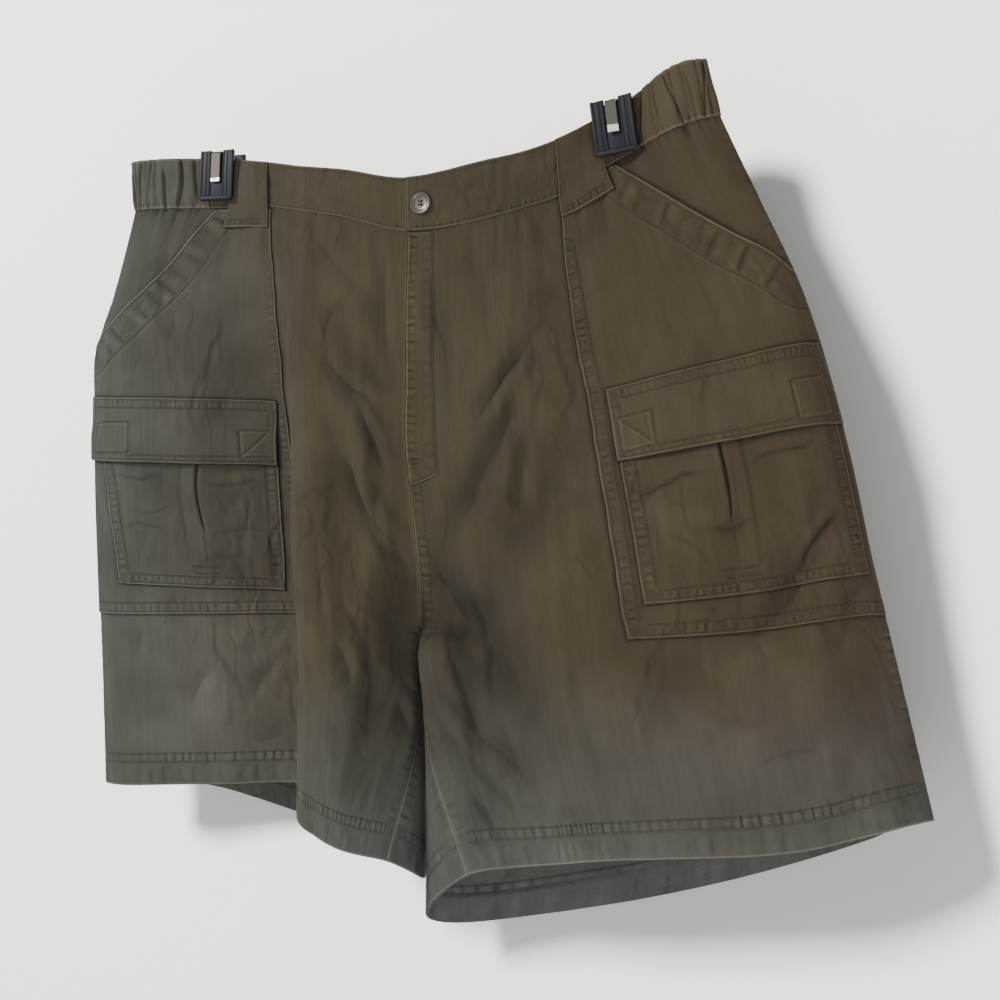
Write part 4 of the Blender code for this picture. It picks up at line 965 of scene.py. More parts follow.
def twill(name):
    """Washed cotton twill: diagonal ribs, faded patches, worn edges, puckers along the seams, painted shade
    and highlights, and a painted cool sheen.
    """
    g = Graph(name, Roughness=0.9, Specular_IOR_Level=0.10, Sheen_Weight=0.03, Sheen_Roughness=0.5,
              Sheen_Tint=(0.75, 0.74, 0.72, 1))
    weave, seam = g.attribute("weave", "Vector"), g.attribute("seam", "Vector")
    pucker = g.attribute("pucker")
    place = g.place()

    ribs = g.node("TexWave", Scale=210.0, Distortion=0.8, Detail=1.0, bands_direction="DIAGONAL",
                  Vector=weave).outputs["Fac"]
    streaks = g.noise(weave, 420.0, stretch=(1.0, 0.05, 1.0))
    wide_streaks = g.noise(weave, 110.0, 2.0, stretch=(1.0, 0.06, 1.0))
    patches = g.noise(place, 13.0, 4.0, 0.62)
    lines = []
    for scale, wide in ((16.0, 0.05), (34.0, 0.06)):
        around = g.noise(place, scale, 2.0, 0.55, stretch=(1.0, 0.6, 0.55))
        lines.append(g.ramp(g.math("ABSOLUTE", g.math("SUBTRACT", around, 0.5)), 1.0, 0.0, 0.0, wide))
    calm = g.ramp(g.noise(place, 9.0, 2.0, 0.5), 0.0, 1.0, 0.44, 0.60)
    wrinkle = g.times(g.math("MULTIPLY_ADD", lines[1], 0.5, lines[0]), calm)
    hue = g.noise(place, 9.0, 3.0, 0.6)
    fuzz = g.noise(weave, 1300.0, 2.0, 0.7)

    # Rows of stitches and the puckers that they draw up in the cloth; the colour gets painted shade in the
    # rows' grooves and painted light and shade over the puckers.
    along, *offs = g.node("SeparateXYZ", Vector=seam).outputs
    rows = []
    for off in offs:
        near = g.times(off, 1.35)
        rows.append(g.math("POWER", 2.7183, g.times(near, near, -1.0)))
    groove = g.times(g.math("MAXIMUM", *rows), g.attribute("sewn"))
    drift = g.noise(seam, 0.4, 2.0, 0.5, stretch=(1.0, 0.03, 0.03))
    turn = g.times(g.math("ADD", along, g.times(drift, 1.3)), 6.2832)
    uneven = g.noise(seam, 1.1, 2.0, 0.6, stretch=(1.0, 0.12, 0.12))
    uneven = g.times(g.math("SUBTRACT", uneven, 0.5), 2.4)
    valley = g.math("POWER", g.math("ABSOLUTE", g.math("SINE", g.times(turn, 0.5))), 0.8)
    wave = g.math("MULTIPLY_ADD", valley, 2.3, -1.35)
    lively = g.ramp(g.noise(seam, 0.8, 1.0, 0.5, stretch=(1.0, 0.02, 0.02)), 0.15, 1.35, 0.36, 0.62)
    ripple = g.times(g.math("MULTIPLY_ADD", wave, lively, uneven), pucker)

    # Painted cool sheen greys the cloth towards the left side and the lower legs; brown and olive
    # elsewhere, and the colour also differs at random.
    x, _, z = g.node("SeparateXYZ", Vector=place).outputs
    sheen_and_tone = g.math("MAXIMUM", g.ramp(z, 0.0, 1.0, *SHEEN_LOW), g.ramp(x, 0.0, 1.0, *SHEEN_ASIDE))
    sheen_and_tone = g.math("ADD", sheen_and_tone, g.times(g.math("SUBTRACT", patches, 0.5), 0.5), clamp=True)
    warm = g.math("ADD", g.ramp(x, 0.0, 1.0, *WARM), g.times(g.math("SUBTRACT", hue, 0.5), 1.6),
                  clamp=True)
    colour = g.mix(sheen_and_tone, g.mix(warm, OLIVE, BROWN), SHEEN_GREY)
    # Value of the colour: random weave and patches, worn places with painted highlights, painted shade,
    # painted shade in the rows' grooves and along the fine wrinkle lines, and painted light and shade over
    # the puckers.
    value = g.times(
        g.ramp(patches, 0.90, 1.11, 0.3, 0.7), g.ramp(streaks, 0.94, 1.06, 0.3, 0.7),
        g.ramp(wide_streaks, 0.94, 1.06, 0.3, 0.7), g.ramp(ribs, 0.98, 1.02),
        g.ramp(fuzz, 0.90, 1.10, 0.3, 0.7), g.ramp(g.attribute("wear_and_highlight"), 1.0, 2.2, 0.0, 1.3, "LINEAR"),
        g.ramp(g.attribute("shade"), 1.0, 0.25, 0.0, 1.2, "LINEAR"),
        g.ramp(groove, 1.0, 0.66, kind="LINEAR"), g.ramp(wrinkle, 1.0, 0.86, 0.0, 1.3, "LINEAR"),
        g.ramp(ripple, 0.60, 1.35, -0.6, 0.6, "LINEAR"))
    g.feed(g.scaled(colour, value), g.shader.inputs["Base Color"])

    normal = g.bump(g.math("MULTIPLY_ADD", ribs, 0.4, fuzz), 0.3, 0.0003)
    normal = g.bump(g.noise(weave, 95.0), 0.5, 0.0014, Normal=normal)
    normal = g.bump(g.times(wrinkle, -1.0), 1.0, 0.0010, Normal=normal)
    seam_height = g.math("SUBTRACT", ripple, g.times(groove, 0.35))
    g.feed(g.bump(seam_height, 1.0, 0.001, Normal=normal), g.shader.inputs["Normal"])
    return g.material


def dull_strip(name, low, high):
    """Dull dark spring steel, paler and glossier in a band between two heights."""
    g = Graph(name, Metallic=0.85)
    place = g.place()
    scratch = g.noise(place, 900.0, 3.0, 0.6, stretch=(1.0, 1.0, 0.1))
    z = g.node("SeparateXYZ", Vector=place).outputs["Z"]
    height = g.math("ADD", z, g.times(scratch, STRIP_FADE))
    bright = g.times(g.ramp(height, 0.0, 1.0, low, low + STRIP_FADE),
                     g.ramp(height, 1.0, 0.0, high, high + STRIP_FADE))
    g.fill(g.shader, {"Base Color": g.mix(bright, (0.05, 0.048, 0.041), (0.7, 0.7, 0.68)),
                      "Roughness": g.ramp(bright, 0.55, 0.28), "Normal": g.bump(scratch, 0.2, 0.0002)})
    return g.material


def plain(name, base, roughness, metallic=0.0, grain=600.0, spread=0.12, coat=0.0, gloss=0.5):
    """Plain finish with fine procedural grain."""
    g = Graph(name, Roughness=roughness, Metallic=metallic, Coat_Weight=coat,
              Specular_IOR_Level=gloss)
    specks = g.noise(g.place(), grain, roughness=0.5)
    tint = g.ramp(specks, 1 - spread, 1 + spread, 0.3, 0.7, "LINEAR")
    g.fill(g.shader, {"Base Color": g.scaled(base, tint), "Normal": g.bump(specks, 0.3, 0.0001)})
    return g.material


cloth = twill("twill")
thread = plain("thread", (0.033, 0.028, 0.020), 0.85, grain=2500.0, gloss=0.2)
horn = plain("horn", (0.027, 0.021, 0.014), 0.38, grain=160.0, spread=0.6, coat=0.15)
plastic = plain("black_plastic", (0.002, 0.0026, 0.0055), 0.6, grain=1500.0, gloss=0.2)
brass = plain("zip_metal", (0.42, 0.35, 0.20), 0.42, metallic=0.9, grain=900.0)
rows_of = {}            # rows of stitches of each piece


# ================================================================ the elastic and the openings
# Sharp gathers of the elastic: place across it as a share, lean in mm, top, foot and depth.
PLEATS = {
    "left": (
        (0.06, 3, -2, 30, 0.6), (0.13, 5, -2, 44, 1), (0.2, -4, 6, 44, 0.8), (0.27, 4, -2, 26, 0.7),
        (0.33, 7, -2, 44, 1), (0.41, -2, -2, 36, 0.7), (0.48, 4, 8, 44, 0.9), (0.57, -5, -2, 40, 0.8),
        (0.66, 4, -2, 44, 0.9), (0.74, 6, 10, 44, 0.7), (0.83, -4, -2, 44, 1), (0.92, 3, -2, 30, 0.8),
    ),
    "right": (
        (0.05, -3, -2, 44, 0.8), (0.15, 4, -2, 30, 0.7), (0.23, 7, -2, 44, 1.1), (0.31, 3, 4, 44, 0.6),
        (0.38, -6, -2, 38, 0.9), (0.47, 3, -2, 44, 0.7), (0.55, 6, -2, 28, 0.8), (0.64, -4, 6, 44, 0.9),
        (0.72, 4, -2, 44, 0.8), (0.81, -5, -2, 34, 0.9), (0.9, 4, -2, 44, 0.9),
    ),
}
# The slanting edge of the hand openings: (station, level) from the waist seam to the side.
MOUTHS = {
    "left": ((0.376, PATCH_TOP), (0.388, 0.031), (0.412, 0.099), (0.449, 0.162), (0.473, 0.1995),
             (PATCH_SIDE, 0.231)),
    "right": ((0.356, PATCH_TOP), (0.361, 0.0135), (0.392, 0.073), (0.415, 0.115), (0.448, 0.167),
              (0.484, 0.213), (PATCH_SIDE, 0.236)),
}


def pleats(half, x, y):
    """How deep the sharp gathers are at a place on the elastic, and the painted shade along their folds."""
    low, high = ELASTIC_FRONT * HALF_GIRTH, ELASTIC_BACK * HALF_GIRTH
    deep, dark = np.zeros(x.shape), np.zeros(x.shape)
    for share, lean, top, foot, depth in PLEATS[half]:
        bow = 1.3 * np.sin(y / 11 + 20 * share)
        off = x - (low + share * (high - low)) - lean * (y / BAND_DROP - 0.5) - bow
        span = smooth((y - top) / 8) * smooth((foot + 6 - y) / 10)
        deep += depth * (bell(off, 1.0) - 0.6 * bell(off - 2.2, 1.6)) * span
        dark += depth * bell(off, 0.7) * span
    return deep, dark


def ring(corners):
    """The closed outline of a piece on the flat sheet."""
    path = sheet_path(corners)
    return path + path[:1]


# ================================================================ leg panels
def hem_inner(s, v, x, y):
    """The cloth lies double in the hem."""
    return (-(HEM_CLOTH - CLOTH) * smooth((y - (HEM_LINE - 0.8)) / 1.6),)


def make_panels(half, n):
    """Front and back leg panel of one half."""
    def own(s, v, x, y):
        """Gathers under the elastic with painted shade in their grooves and folds, and small marks of
        painted shade along the waist seam.
        """
        lobes, ends = gather_lobes(s)
        under = np.exp(-np.maximum(y, 0) / 14)
        pleat, cut = pleats(half, x, 38.0 + 0.4 * y)
        shade_ticks = np.clip(noise(x / 2.4, 0.5, 41) - 0.1, 0, 1) * bell(y - 2, 5)
        shade = ((0.4 * (1 - lobes) + 1.5 * cut) * under + 1.3 * shade_ticks) * ends
        return (0.9 * (lobes - 0.6) - 1.2 * pleat) * ends * under, 0, shade

    side = SIDE * HALF_GIRTH
    for k, name in enumerate(("front", "back")):
        first = SIDE * k
        low, high = first * HALF_GIRTH, (first + SIDE) * HALF_GIRTH
        seams = [Seam([(low, HEM_LINE), (high, HEM_LINE)], (0, 7), (-2, 10), 5.3, 0.38),
                 Seam([(low, PANEL_DROP), (high, PANEL_DROP)], (), (-18, 0), 9.0, 0.2),
                 Seam([(side, 0), (side, PANEL_DROP)], (), (-8, 8), 8.0, 0.28),
                 Seam([(0, 0.64 * PANEL_DROP), (0, PANEL_DROP)], (), (-12, 0.5), 8.0, 0.3),
                 Seam([(HALF_GIRTH, 0), (HALF_GIRTH, PANEL_DROP)], (), (0, 12), 8.0, 0.3)]
        if (name, half) == ("front", "right"):
            seams.append(Seam([(1.8, 0.62 * PANEL_DROP), (1.8, 0.40 * PANEL_DROP)], (0, 6.5),
                              (-1, 9), 7.0, 0.36))
        if name == "back":
            line = HALF_GIRTH - 2
            seams.append(Seam([(line, 0.01 * PANEL_DROP), (line, 0.62 * PANEL_DROP)],
                              (0,) if half == "left" else (), (-3, 7), 7.0, 0.25))
        over = ()
        if name == "front":
            foot = sheet_path(((PATCH_SIDE, PATCHES[half][2]),))
            over = patch_edge(half, 0) + foot, sheet_path(MOUTHS[half]), [(low, 0), (high, 0)]
        Cloth(f"{name}_{half}", half, panel_base(half), lambda a, b, first=first: (first + SIDE * a, b),
              (side, PANEL_DROP), lift=0.0, wall=1.3, seams=seams, own=own, inner=hem_inner,
              seed=1 + 2 * n + k, covered=over).build(
                  1.72 if name == "front" else 2.5, "twill",
                  ((), (HEM_LINE - 1.6, HEM_LINE, HEM_LINE + 1.6)))


# ================================================================ hip patches
def patch_top(half, s):
    """Level of the patch's top edge: the waist seam, then the slanting hand opening."""
    stations, levels = np.transpose(MOUTHS[half])
    at = np.clip(s, stations[0], stations[-1])
    slanting = (weights(stations, at.ravel()) @ levels).reshape(at.shape)
    return np.where(s <= stations[0], PATCH_TOP, slanting)


def patch_wobble(half, y):
    """How far the front edge of a patch strays from its straight line."""
    seed = SIDE_SEED[half] + 60
    return 0.9 * noise(y / 21, 0.3, seed) + 0.5 * noise(y / 9, 0.6, seed + 1)


def patch_edge(half, top):
    """Front edge of a patch on the flat sheet, from a height down to its foot."""
    edge, foot, _ = PATCHES[half]
    return [(edge * HALF_GIRTH + patch_wobble(half, y), y) for y in np.linspace(top, foot * PANEL_DROP, 40)]


def make_patch(half, n):
    """Hip patch with the hand opening, from the waist seam to below the cargo pocket."""
    edge, foot_front, foot_side = PATCHES[half]
    run = PATCH_SIDE - edge
    mouth = rounded(sheet_path(MOUTHS[half]), 5.0)
    foot = sheet_path(((PATCH_SIDE, foot_side), (edge, foot_front)))
    top = PATCH_TOP * PANEL_DROP
    edge_path = patch_edge(half, top)

    def place(a, b):
        s = edge + a * run
        head = patch_top(half, s)
        v = head + b * (foot_front + (foot_side - foot_front) * a - head)
        return s + patch_wobble(half, v * PANEL_DROP) / HALF_GIRTH * (1 - a) ** 6, v

    def own(s, v, x, y):
        """The lip of the opening stands off, worn along its edge and its inner row."""
        off, along, length = near_line(mouth, x, y)
        bulge = np.sin(np.pi * np.clip(along / length, 0, 1)) ** 0.8
        height = MOUTH_LIFT[half] * bulge * np.exp(-np.maximum(off, 0) / 15)
        return height, 0.5 * bell(off - 0.8, 1.2) + 0.28 * bell(off - 28.0, 0.9), 0

    seams = [Seam(mouth, (2.6, 26.5), (3.0, 26.0), 12.0, 0.42),
             Seam([p for p in edge_path[::-1] if p[1] > top + 40], (2.0, 9.0)[:1 + n], (1, 9), 6.2,
                  0.36),
             Seam(foot, (1.8, 9.6), (1, 10), 5.3, 0.36)]
    Cloth(f"hip_patch_{half}", half, panel_base(half), place, (run * HALF_GIRTH, 0.7 * PANEL_DROP),
          lift=1.35, wall=1.05, seams=seams, own=own, seed=20 + n,
          outline=[edge_path[0], *map(tuple, mouth), foot[0], *edge_path[::-1]],
          covered=(ring(POCKETS[half]), ring(FLAPS[half]))).build(1.35, "twill")


# ================================================================ cargo pockets and flaps
def four_corners(corners):
    """Stations and levels of a four-cornered piece from shares across and down."""
    (s0, v0), (s1, v1), (s2, v2), (s3, v3) = corners

    def place(a, b):
        s = (s0 + (s1 - s0) * a) * (1 - b) + (s3 + (s2 - s3) * a) * b
        v = (v0 + (v1 - v0) * a) * (1 - b) + (v3 + (v2 - v3) * a) * b
        return s, v
    return place


def inside_share(corners, s, v):
    """Shares across (from the front edge) and down a four-cornered piece."""
    (s0, v0), (s1, v1), (s2, v2), (s3, v3) = corners
    down = (v - (v0 + v1) / 2) / ((v3 + v2) / 2 - (v0 + v1) / 2)
    front = s0 + (s3 - s0) * down
    rear = s1 + (s2 - s1) * down
    return (s - front) / (rear - front), down


def sheet_size(corners):
    """Width at the top and drop at the front of a four-cornered piece, in mm."""
    return ((corners[1][0] - corners[0][0]) * HALF_GIRTH, (corners[3][1] - corners[0][1]) * PANEL_DROP)


# Soft waves on the pockets: depth, then places across and down in hundredths of the pocket.
POCKET_WAVES = {
    "left": (
        (0.8, 10, 26, 28, 30, 42, 25), (0.7, 58, 20, 75, 24, 95, 20), (0.5, 5, 62, 22, 60, 34, 64),
        (0.6, 62, 60, 80, 55, 92, 58), (0.5, 55, 42, 72, 48, 90, 44),
    ),
    "right": (
        (1.1, 2, 34, 14, 30, 26, 26, 36, 27), (1, 50, 30, 62, 25, 80, 27, 90, 24),
        (0.7, 28, 60, 40, 62, 55, 57), (1.4, 92, 62, 74, 80, 62, 97), (0.5, 12, 55, 24, 66, 30, 80),
    ),
}


def make_pocket(half, n):
    """Cargo pocket with its inverted pleat, open above and sewn shut at its foot."""
    corners = POCKETS[half]
    outline = ring(corners)
    width, drop = sheet_size(corners)
    slit_foot, slit_bow = PLEATS_OPEN[half]

    def own(s, v, x, y):
        across, down = inside_share(corners, s, v)
        swell = smooth((np.minimum(across, 1 - across) - 0.05) / 0.22)
        swell = swell * smooth((down - 0.12) / 0.25) * smooth((1 - down) / 0.28)
        open_share = np.clip((down - 0.1) / (slit_foot - 0.1), 0, 1)
        lens = np.where(down < slit_foot, 0.45 * np.sin(np.pi * (0.2 + 0.8 * open_share)), 0)
        off = (across - PLEAT_AT) * width - slit_bow * np.sin(np.pi * open_share) + 0.8
        long = smooth((0.86 - down) / 0.06)
        deep = smooth((slit_foot + 0.03 - down) / 0.08)
        groove = bell(off, 0.42 + np.maximum(lens, 0.06)) * long
        fold = off - (11 + n) - 1.5 * np.sin(3 * down)
        height = 1.9 * swell - (0.4 + 1.2 * deep) * groove
        height = height + 0.5 * bell(np.abs(off) - 2.4, 1.8) * long * deep
        height = height - 0.45 * bell(fold, 1.5) * long
        # Painted shade in the pleat's slit and along the fold beside it.
        shade = 1.2 * groove * (0.25 + 0.75 * deep) + 0.3 * bell(fold, 1.3) * long
        for depth, *row in POCKET_WAVES[half]:
            path = [(a / 100 * width, d / 100 * drop) for a, d in zip(row[::2], row[1::2])]
            off, along, length = near_line(path, across * width + noise(y / 9, x / 9, 43),
                                           down * drop + 1.2 * noise(x / 9, y / 9, 44))
            fade = tapered(along, length, 0.3)
            height = height - depth * (bell(off, 2.0) - 0.7 * bell(off - 4.0, 3.0)) * fade
            # Painted shade in the trough of each soft wave.
            shade = shade + depth * (0.26 * bell(off, 2.0) + 0.34 * bell(off, 0.9)) * fade
        return height, 0, shade

    seams = [Seam(outline[k:k + 2], (1.8, 8.6), (1, 9), wave, height)
             for k, wave, height in ((1, 6.5, 0.4), (3, 6.5, 0.4), (2, 4.4, 0.34))]
    for down in (0.9, 0.855):       # short rows that close the pleat
        ends = four_corners(corners)(np.array([PLEAT_AT - 0.07, PLEAT_AT + 0.075]), down)
        seams.append(Seam(sheet_path(zip(*ends)), (0,), (-1.5, 1.5), 6.0, 0.1))
    middle = PLEAT_AT * width
    Cloth(f"cargo_pocket_{half}", half, panel_base(half), four_corners(corners), (width, drop),
          lift=2.75, wall=1.0, seams=seams, own=own, outline=outline, seed=30 + n,
          covered=(ring(FLAPS[half]),)).build(0.85, "twill_pocket",
                                              ([middle + 0.3 * k for k in range(-14, 15)], ()))


# Stitched squares on the flaps: both ends of the diagonal, and whether it is sewn too.
SQUARES = {
    "left": (((0.4305, 0.366), (0.476, 0.4165), False), ((0.279, 0.384), (0.311, 0.428), True)),
    "right": (((0.275, 0.369), (0.306, 0.419), True), ((0.448, 0.383), (0.484, 0.436), False)),
}


def square(low, high, cross):
    """Rows of a stitched square: its outline, and its diagonal where it is sewn."""
    (s0, v0), (s1, v1) = low, high
    path = sheet_path(((s0, v0), (s1, v0), (s1, v1), (s0, v1), (s0, v0)))
    return [path, path[:3:2]] if cross else [path]


def make_flap(half, n):
    """Pocket flap, which climbs from the hip patch onto the pocket."""
    corners = FLAPS[half]
    outline = ring(corners)
    squares = [path for square_row in SQUARES[half] for path in square(*square_row)]

    def own(s, v, x, y):
        across, down = inside_share(corners, s, v)
        climb = smooth((v - FLAP_STEP[0]) / (FLAP_STEP[1] - FLAP_STEP[0]))
        edge = np.minimum(across, 1 - across)
        free = smooth((down - 0.25) / 0.75)
        height = 1.5 * climb + 1.6 * free * smooth(edge / 0.12)
        height = height + 0.8 * free * noise(x / 34, 0.4, 77) * smooth(edge / 0.1)
        wear_and_highlight, shade = 0, 0
        for path in squares:
            off = near_line(path, x, y)[0]
            # Beside each sunk row of a square: a line of painted highlight on one side and of painted shade
            # on the other.
            wear_and_highlight = wear_and_highlight + 0.55 * bell(off - 0.9, 0.7)
            shade = shade + 0.30 * bell(off + 0.6, 0.8)
            height = height - 0.35 * bell(off, 0.9)
        return height, wear_and_highlight, shade

    seams = [Seam(outline[:2], (1.8, 8.8), (1, 9.5), 3.9, 0.36),
             Seam(outline[1:], (1.8, 6.2), (1, 6.5), 5.5, 0.26),
             *(Seam(path, (0,), (-2.5, 2.5), 6.5, 0.15) for path in squares)]
    Cloth(f"cargo_flap_{half}", half, panel_base(half), four_corners(corners), sheet_size(corners),
          lift=3.05, wall=1.35, seams=seams, own=own, outline=outline, seed=40 + n,
          inner=lambda s, v, x, y: (1.4 * smooth((v - FLAP_STEP[0]) / 0.035),)).build(
              0.85, "twill_pocket")


# ================================================================ waistband, loops, fly
BAND_LONG = BAND_FOOT * BAND_DROP
BAND_SCALE = (HALF_GIRTH, BAND_DROP)


def make_band_front(half, n):
    """Plain front half of the waistband; the right one laps over the left one."""
    first = 0.0 if half == "right" else 0.0004

    def own(s, v, x, y):
        slack = noise((x + 1.2 * y) / 17, (y - 0.5 * x) / 15, 92)
        height = (1.1 if half == "right" else -0.6) * bell(x, 26.0)
        height = height + 0.45 * noise(x / 30, y / 40, 91) + 0.55 * slack
        # Painted shade in the troughs of the slack.
        return height, 0, 0.25 * np.clip(-slack, 0, 1)

    low, high = first * HALF_GIRTH, ELASTIC_FRONT * HALF_GIRTH
    seams = [Seam([(low, 0), (high, 0)], (2.4,), (0, 7), 5.0, 0.26),
             Seam([(high, BAND_LONG), (low, BAND_LONG)], (2.2,), (0, 7), 5.0, 0.3)]
    if half == "right":
        seams.append(Seam([(0, BAND_LONG), (0, 0)], (2.4,), (-1, 5), 7.0, 0.2))
    Cloth(f"waistband_front_{half}", half, band_base(half),
          lambda a, b: (first + (ELASTIC_FRONT - 0.0005 - first) * a, BAND_FOOT * b),
          (high - low, BAND_LONG), BAND_OUT, BAND_WALL, scale=BAND_SCALE, seams=seams, own=own,
          rim=1.3, drop=0.45, creased=False, seed=50 + n).build(1.1, "twill_band")


def make_band_elastic(half, n):
    """Gathered elastic side of the waistband."""
    def own(s, v, x, y):
        lobes, ends = gather_lobes(s + 0.0016 * np.sin(v * 4 + s * 60))
        pleat, cut = pleats(half, x, y)
        height = 1.5 * (lobes - 0.62) * ends + 0.5 * noise(x / 8, y / 16, 95) - 1.7 * pleat * ends
        # Painted highlight on the lobes; painted shade in the grooves between them and along the sharp
        # gathers.
        return height, 0.2 * lobes * ends, (0.3 * (1 - lobes) ** 1.3 + 0.8 * cut) * ends

    low, high = ELASTIC_FRONT * HALF_GIRTH, ELASTIC_BACK * HALF_GIRTH
    Cloth(f"waistband_elastic_{half}", half, band_base(half),
          lambda a, b: (ELASTIC_FRONT + (ELASTIC_BACK - ELASTIC_FRONT) * a, BAND_FOOT * b),
          (high - low, BAND_LONG), BAND_OUT, BAND_WALL, scale=BAND_SCALE, own=own, rim=1.4,
          seams=[Seam([(low, BAND_LONG), (high, BAND_LONG)], (), (-6, 1), 5.0, 0.4)],
          creased=False, seed=52 + n, inner=lambda s, v, x, y: (0.8 * own(s, v, x, y)[0],)).build(
              0.75, "twill_band")


def make_loop(half, n):
    """Front belt loop, over the waistband and down onto the panel."""
    first, last, foot = LOOPS[half]
    low, high, long = first * HALF_GIRTH, last * HALF_GIRTH, LOOP_LONG
    seams = [Seam(path, (2.2,), (-0.5, 6), 7.0, 0.3)
             for path in ([(low, long), (low, 0)], [(high, 0), (high, long)])]
    seams.append(Seam([(high, long), (low, long)], (2.4, 5.5), (-0.5, 8), 6.5, 0.3))

    def own(s, v, x, y):
        return 0.9 * np.sin(np.pi * np.clip(v, 0, 1)) ** 2 + 0.4 * noise(x / 16, y / 20, 97), 0, 0

    Cloth(f"belt_loop_{half}", half, loop_base(half, foot, 3 * GAP + LAYER),
          lambda a, b: (first + (last - first) * a, b), (high - low, long), lift=LOOP_WALL,
          wall=LAYER, scale=(HALF_GIRTH, long), seams=seams, own=own, creased=False,
          seed=55 + n).build(1.2, "twill_band")


def make_fly():
    """Edge of the fly on the right front panel, turned in at its foot."""
    start, width = FLY_START * HALF_GIRTH, FLY_WIDTH * HALF_GIRTH
    foot, top = FLY_FOOT * PANEL_DROP, PATCH_TOP * PANEL_DROP

    def place(a, b):
        below = FLY_FOOT - (FLY_FOOT - 0.387) * a
        return FLY_START + (FLY_WIDTH - FLY_START) * a, PATCH_TOP + b * (below - PATCH_TOP)

    def own(s, v, x, y):
        height = 1.15 * (1 - np.clip(x / width, 0, 1)) ** 1.2 + 0.25 * noise(x / 12, y / 30, 61)
        plain_edge = -1.0 * smooth((x - width + 3.0) / 2.0)
        return height, 0.35 * bell(x - 1.4, 1.2) + plain_edge, 0

    seams = [Seam([(start, 0.37 * PANEL_DROP), (start, top + 1)], (2.0,), (-0.5, 9), 7.0, 0.42),
             Seam([(width, top + 1), (width, 0.385 * PANEL_DROP), (3.0, foot - 1)], (1.4,),
                  (-1, 10), 9.0, 0.22)]
    Cloth("fly_front", "right", panel_base("right"), place, (width, foot - top), lift=0.36, wall=0.2,
          seams=seams, own=own, rim=0.7, drop=0.6, seed=60).build(1.3, "twill")


def make_band_back(half, _):
    """One half of the waistband's back; the two meet at the centre back."""
    low = ELASTIC_BACK * HALF_GIRTH
    seams = [Seam([(low, 0), (HALF_GIRTH, 0)], (2.4,), (-1, 8), 8.0, 0.35),
             Seam([(HALF_GIRTH, BAND_LONG), (low, BAND_LONG)], (2.2,), (-1, 8), 7.0, 0.4)]
    Cloth("waistband_back", half, band_base(half),
          lambda a, b: (ELASTIC_BACK + 0.0005 + (0.9995 - ELASTIC_BACK) * a, BAND_FOOT * b),
          (HALF_GIRTH - low, BAND_LONG), BAND_OUT, BAND_WALL, scale=BAND_SCALE, seams=seams, rim=1.2,
          creased=False, seed=70, name=f"cloth_waistband_back_{half}").build(
              1.8, "twill_band")


def make_loop_back(half, _):
    """One half of the back belt loop."""
    long = BACK_LOOP_LONG
    first = 1 - BACK_LOOP_HALF
    low = first * HALF_GIRTH
    seams = [Seam([(low, long), (low, 0)], (2.2,), (-0.5, 6), 7.0, 0.25),
             Seam([(HALF_GIRTH, long), (low, long)], (2.4,), (-0.5, 6), 7.0, 0.25)]
    Cloth("belt_loop_back", half, loop_base(half, BACK_LOOP_FOOT, BAND_OUT + GAP),
          lambda a, b: (first + BACK_LOOP_HALF * a, b), (HALF_GIRTH - low, long), lift=LOOP_WALL,
          wall=LAYER, scale=(HALF_GIRTH, long), seams=seams, rim=1.2, creased=False, seed=70,
          name=f"cloth_belt_loop_back_{half}").build(1.8, "twill_band")


# ================================================================ button, clips
def from_bmesh(name, shape, finish=None, sharp=None):
    """Object from a bmesh, smooth but for edges over an angle in degrees."""
    if finish:
        bmesh.ops.recalc_face_normals(shape, faces=shape.faces)
    mesh = bpy.data.meshes.new(name)
    shape.to_mesh(mesh)
    shape.free()
    if finish:
        mesh.materials.append(finish)
        mesh.shade_smooth()
        mesh.set_sharp_from_angle(angle=math.radians(sharp))
    return put(name, mesh)


def turned(profile, count):
    """A turned solid from (radius, height) pairs, in metres."""
    shape = bmesh.new()
    rings = []
    for radius, height in profile:
        turns = [2 * math.pi * k / count for k in range(count if radius else 1)]
        rings.append([shape.verts.new((radius * math.cos(t), radius * math.sin(t), height))
                      for t in turns])
    for low, high in zip(rings, rings[1:]):
        for k in range(count):
            n = (k + 1) % count
            corners = low[k % len(low)], low[n % len(low)], high[n % len(high)], high[k % len(high)]
            shape.faces.new(list(dict.fromkeys(corners)))
    return shape


def drilled(button):
    """The button's mesh with its four holes cut through."""
    shape = bmesh.new()
    for i in range(4):
        angle = math.radians(45 + 90 * i)
        made = bmesh.ops.create_cone(shape, cap_ends=True, segments=20, depth=0.01,
                                     radius1=HOLE_RADIUS * MM, radius2=HOLE_RADIUS * MM)
        aside = HOLE_RING * MM * Vector((math.cos(angle), math.sin(angle), 0))
        bmesh.ops.translate(shape, verts=made["verts"], vec=aside)
    drill = from_bmesh("drill", shape)
    cut = button.modifiers.new("holes", "BOOLEAN")
    cut.operation = "DIFFERENCE"
    cut.object = drill
    bpy.context.view_layer.update()
    mesh = bpy.data.meshes.new_from_object(button.evaluated_get(bpy.context.evaluated_depsgraph_get()))
    button.modifiers.clear()
    bpy.data.objects.remove(drill)
    return mesh


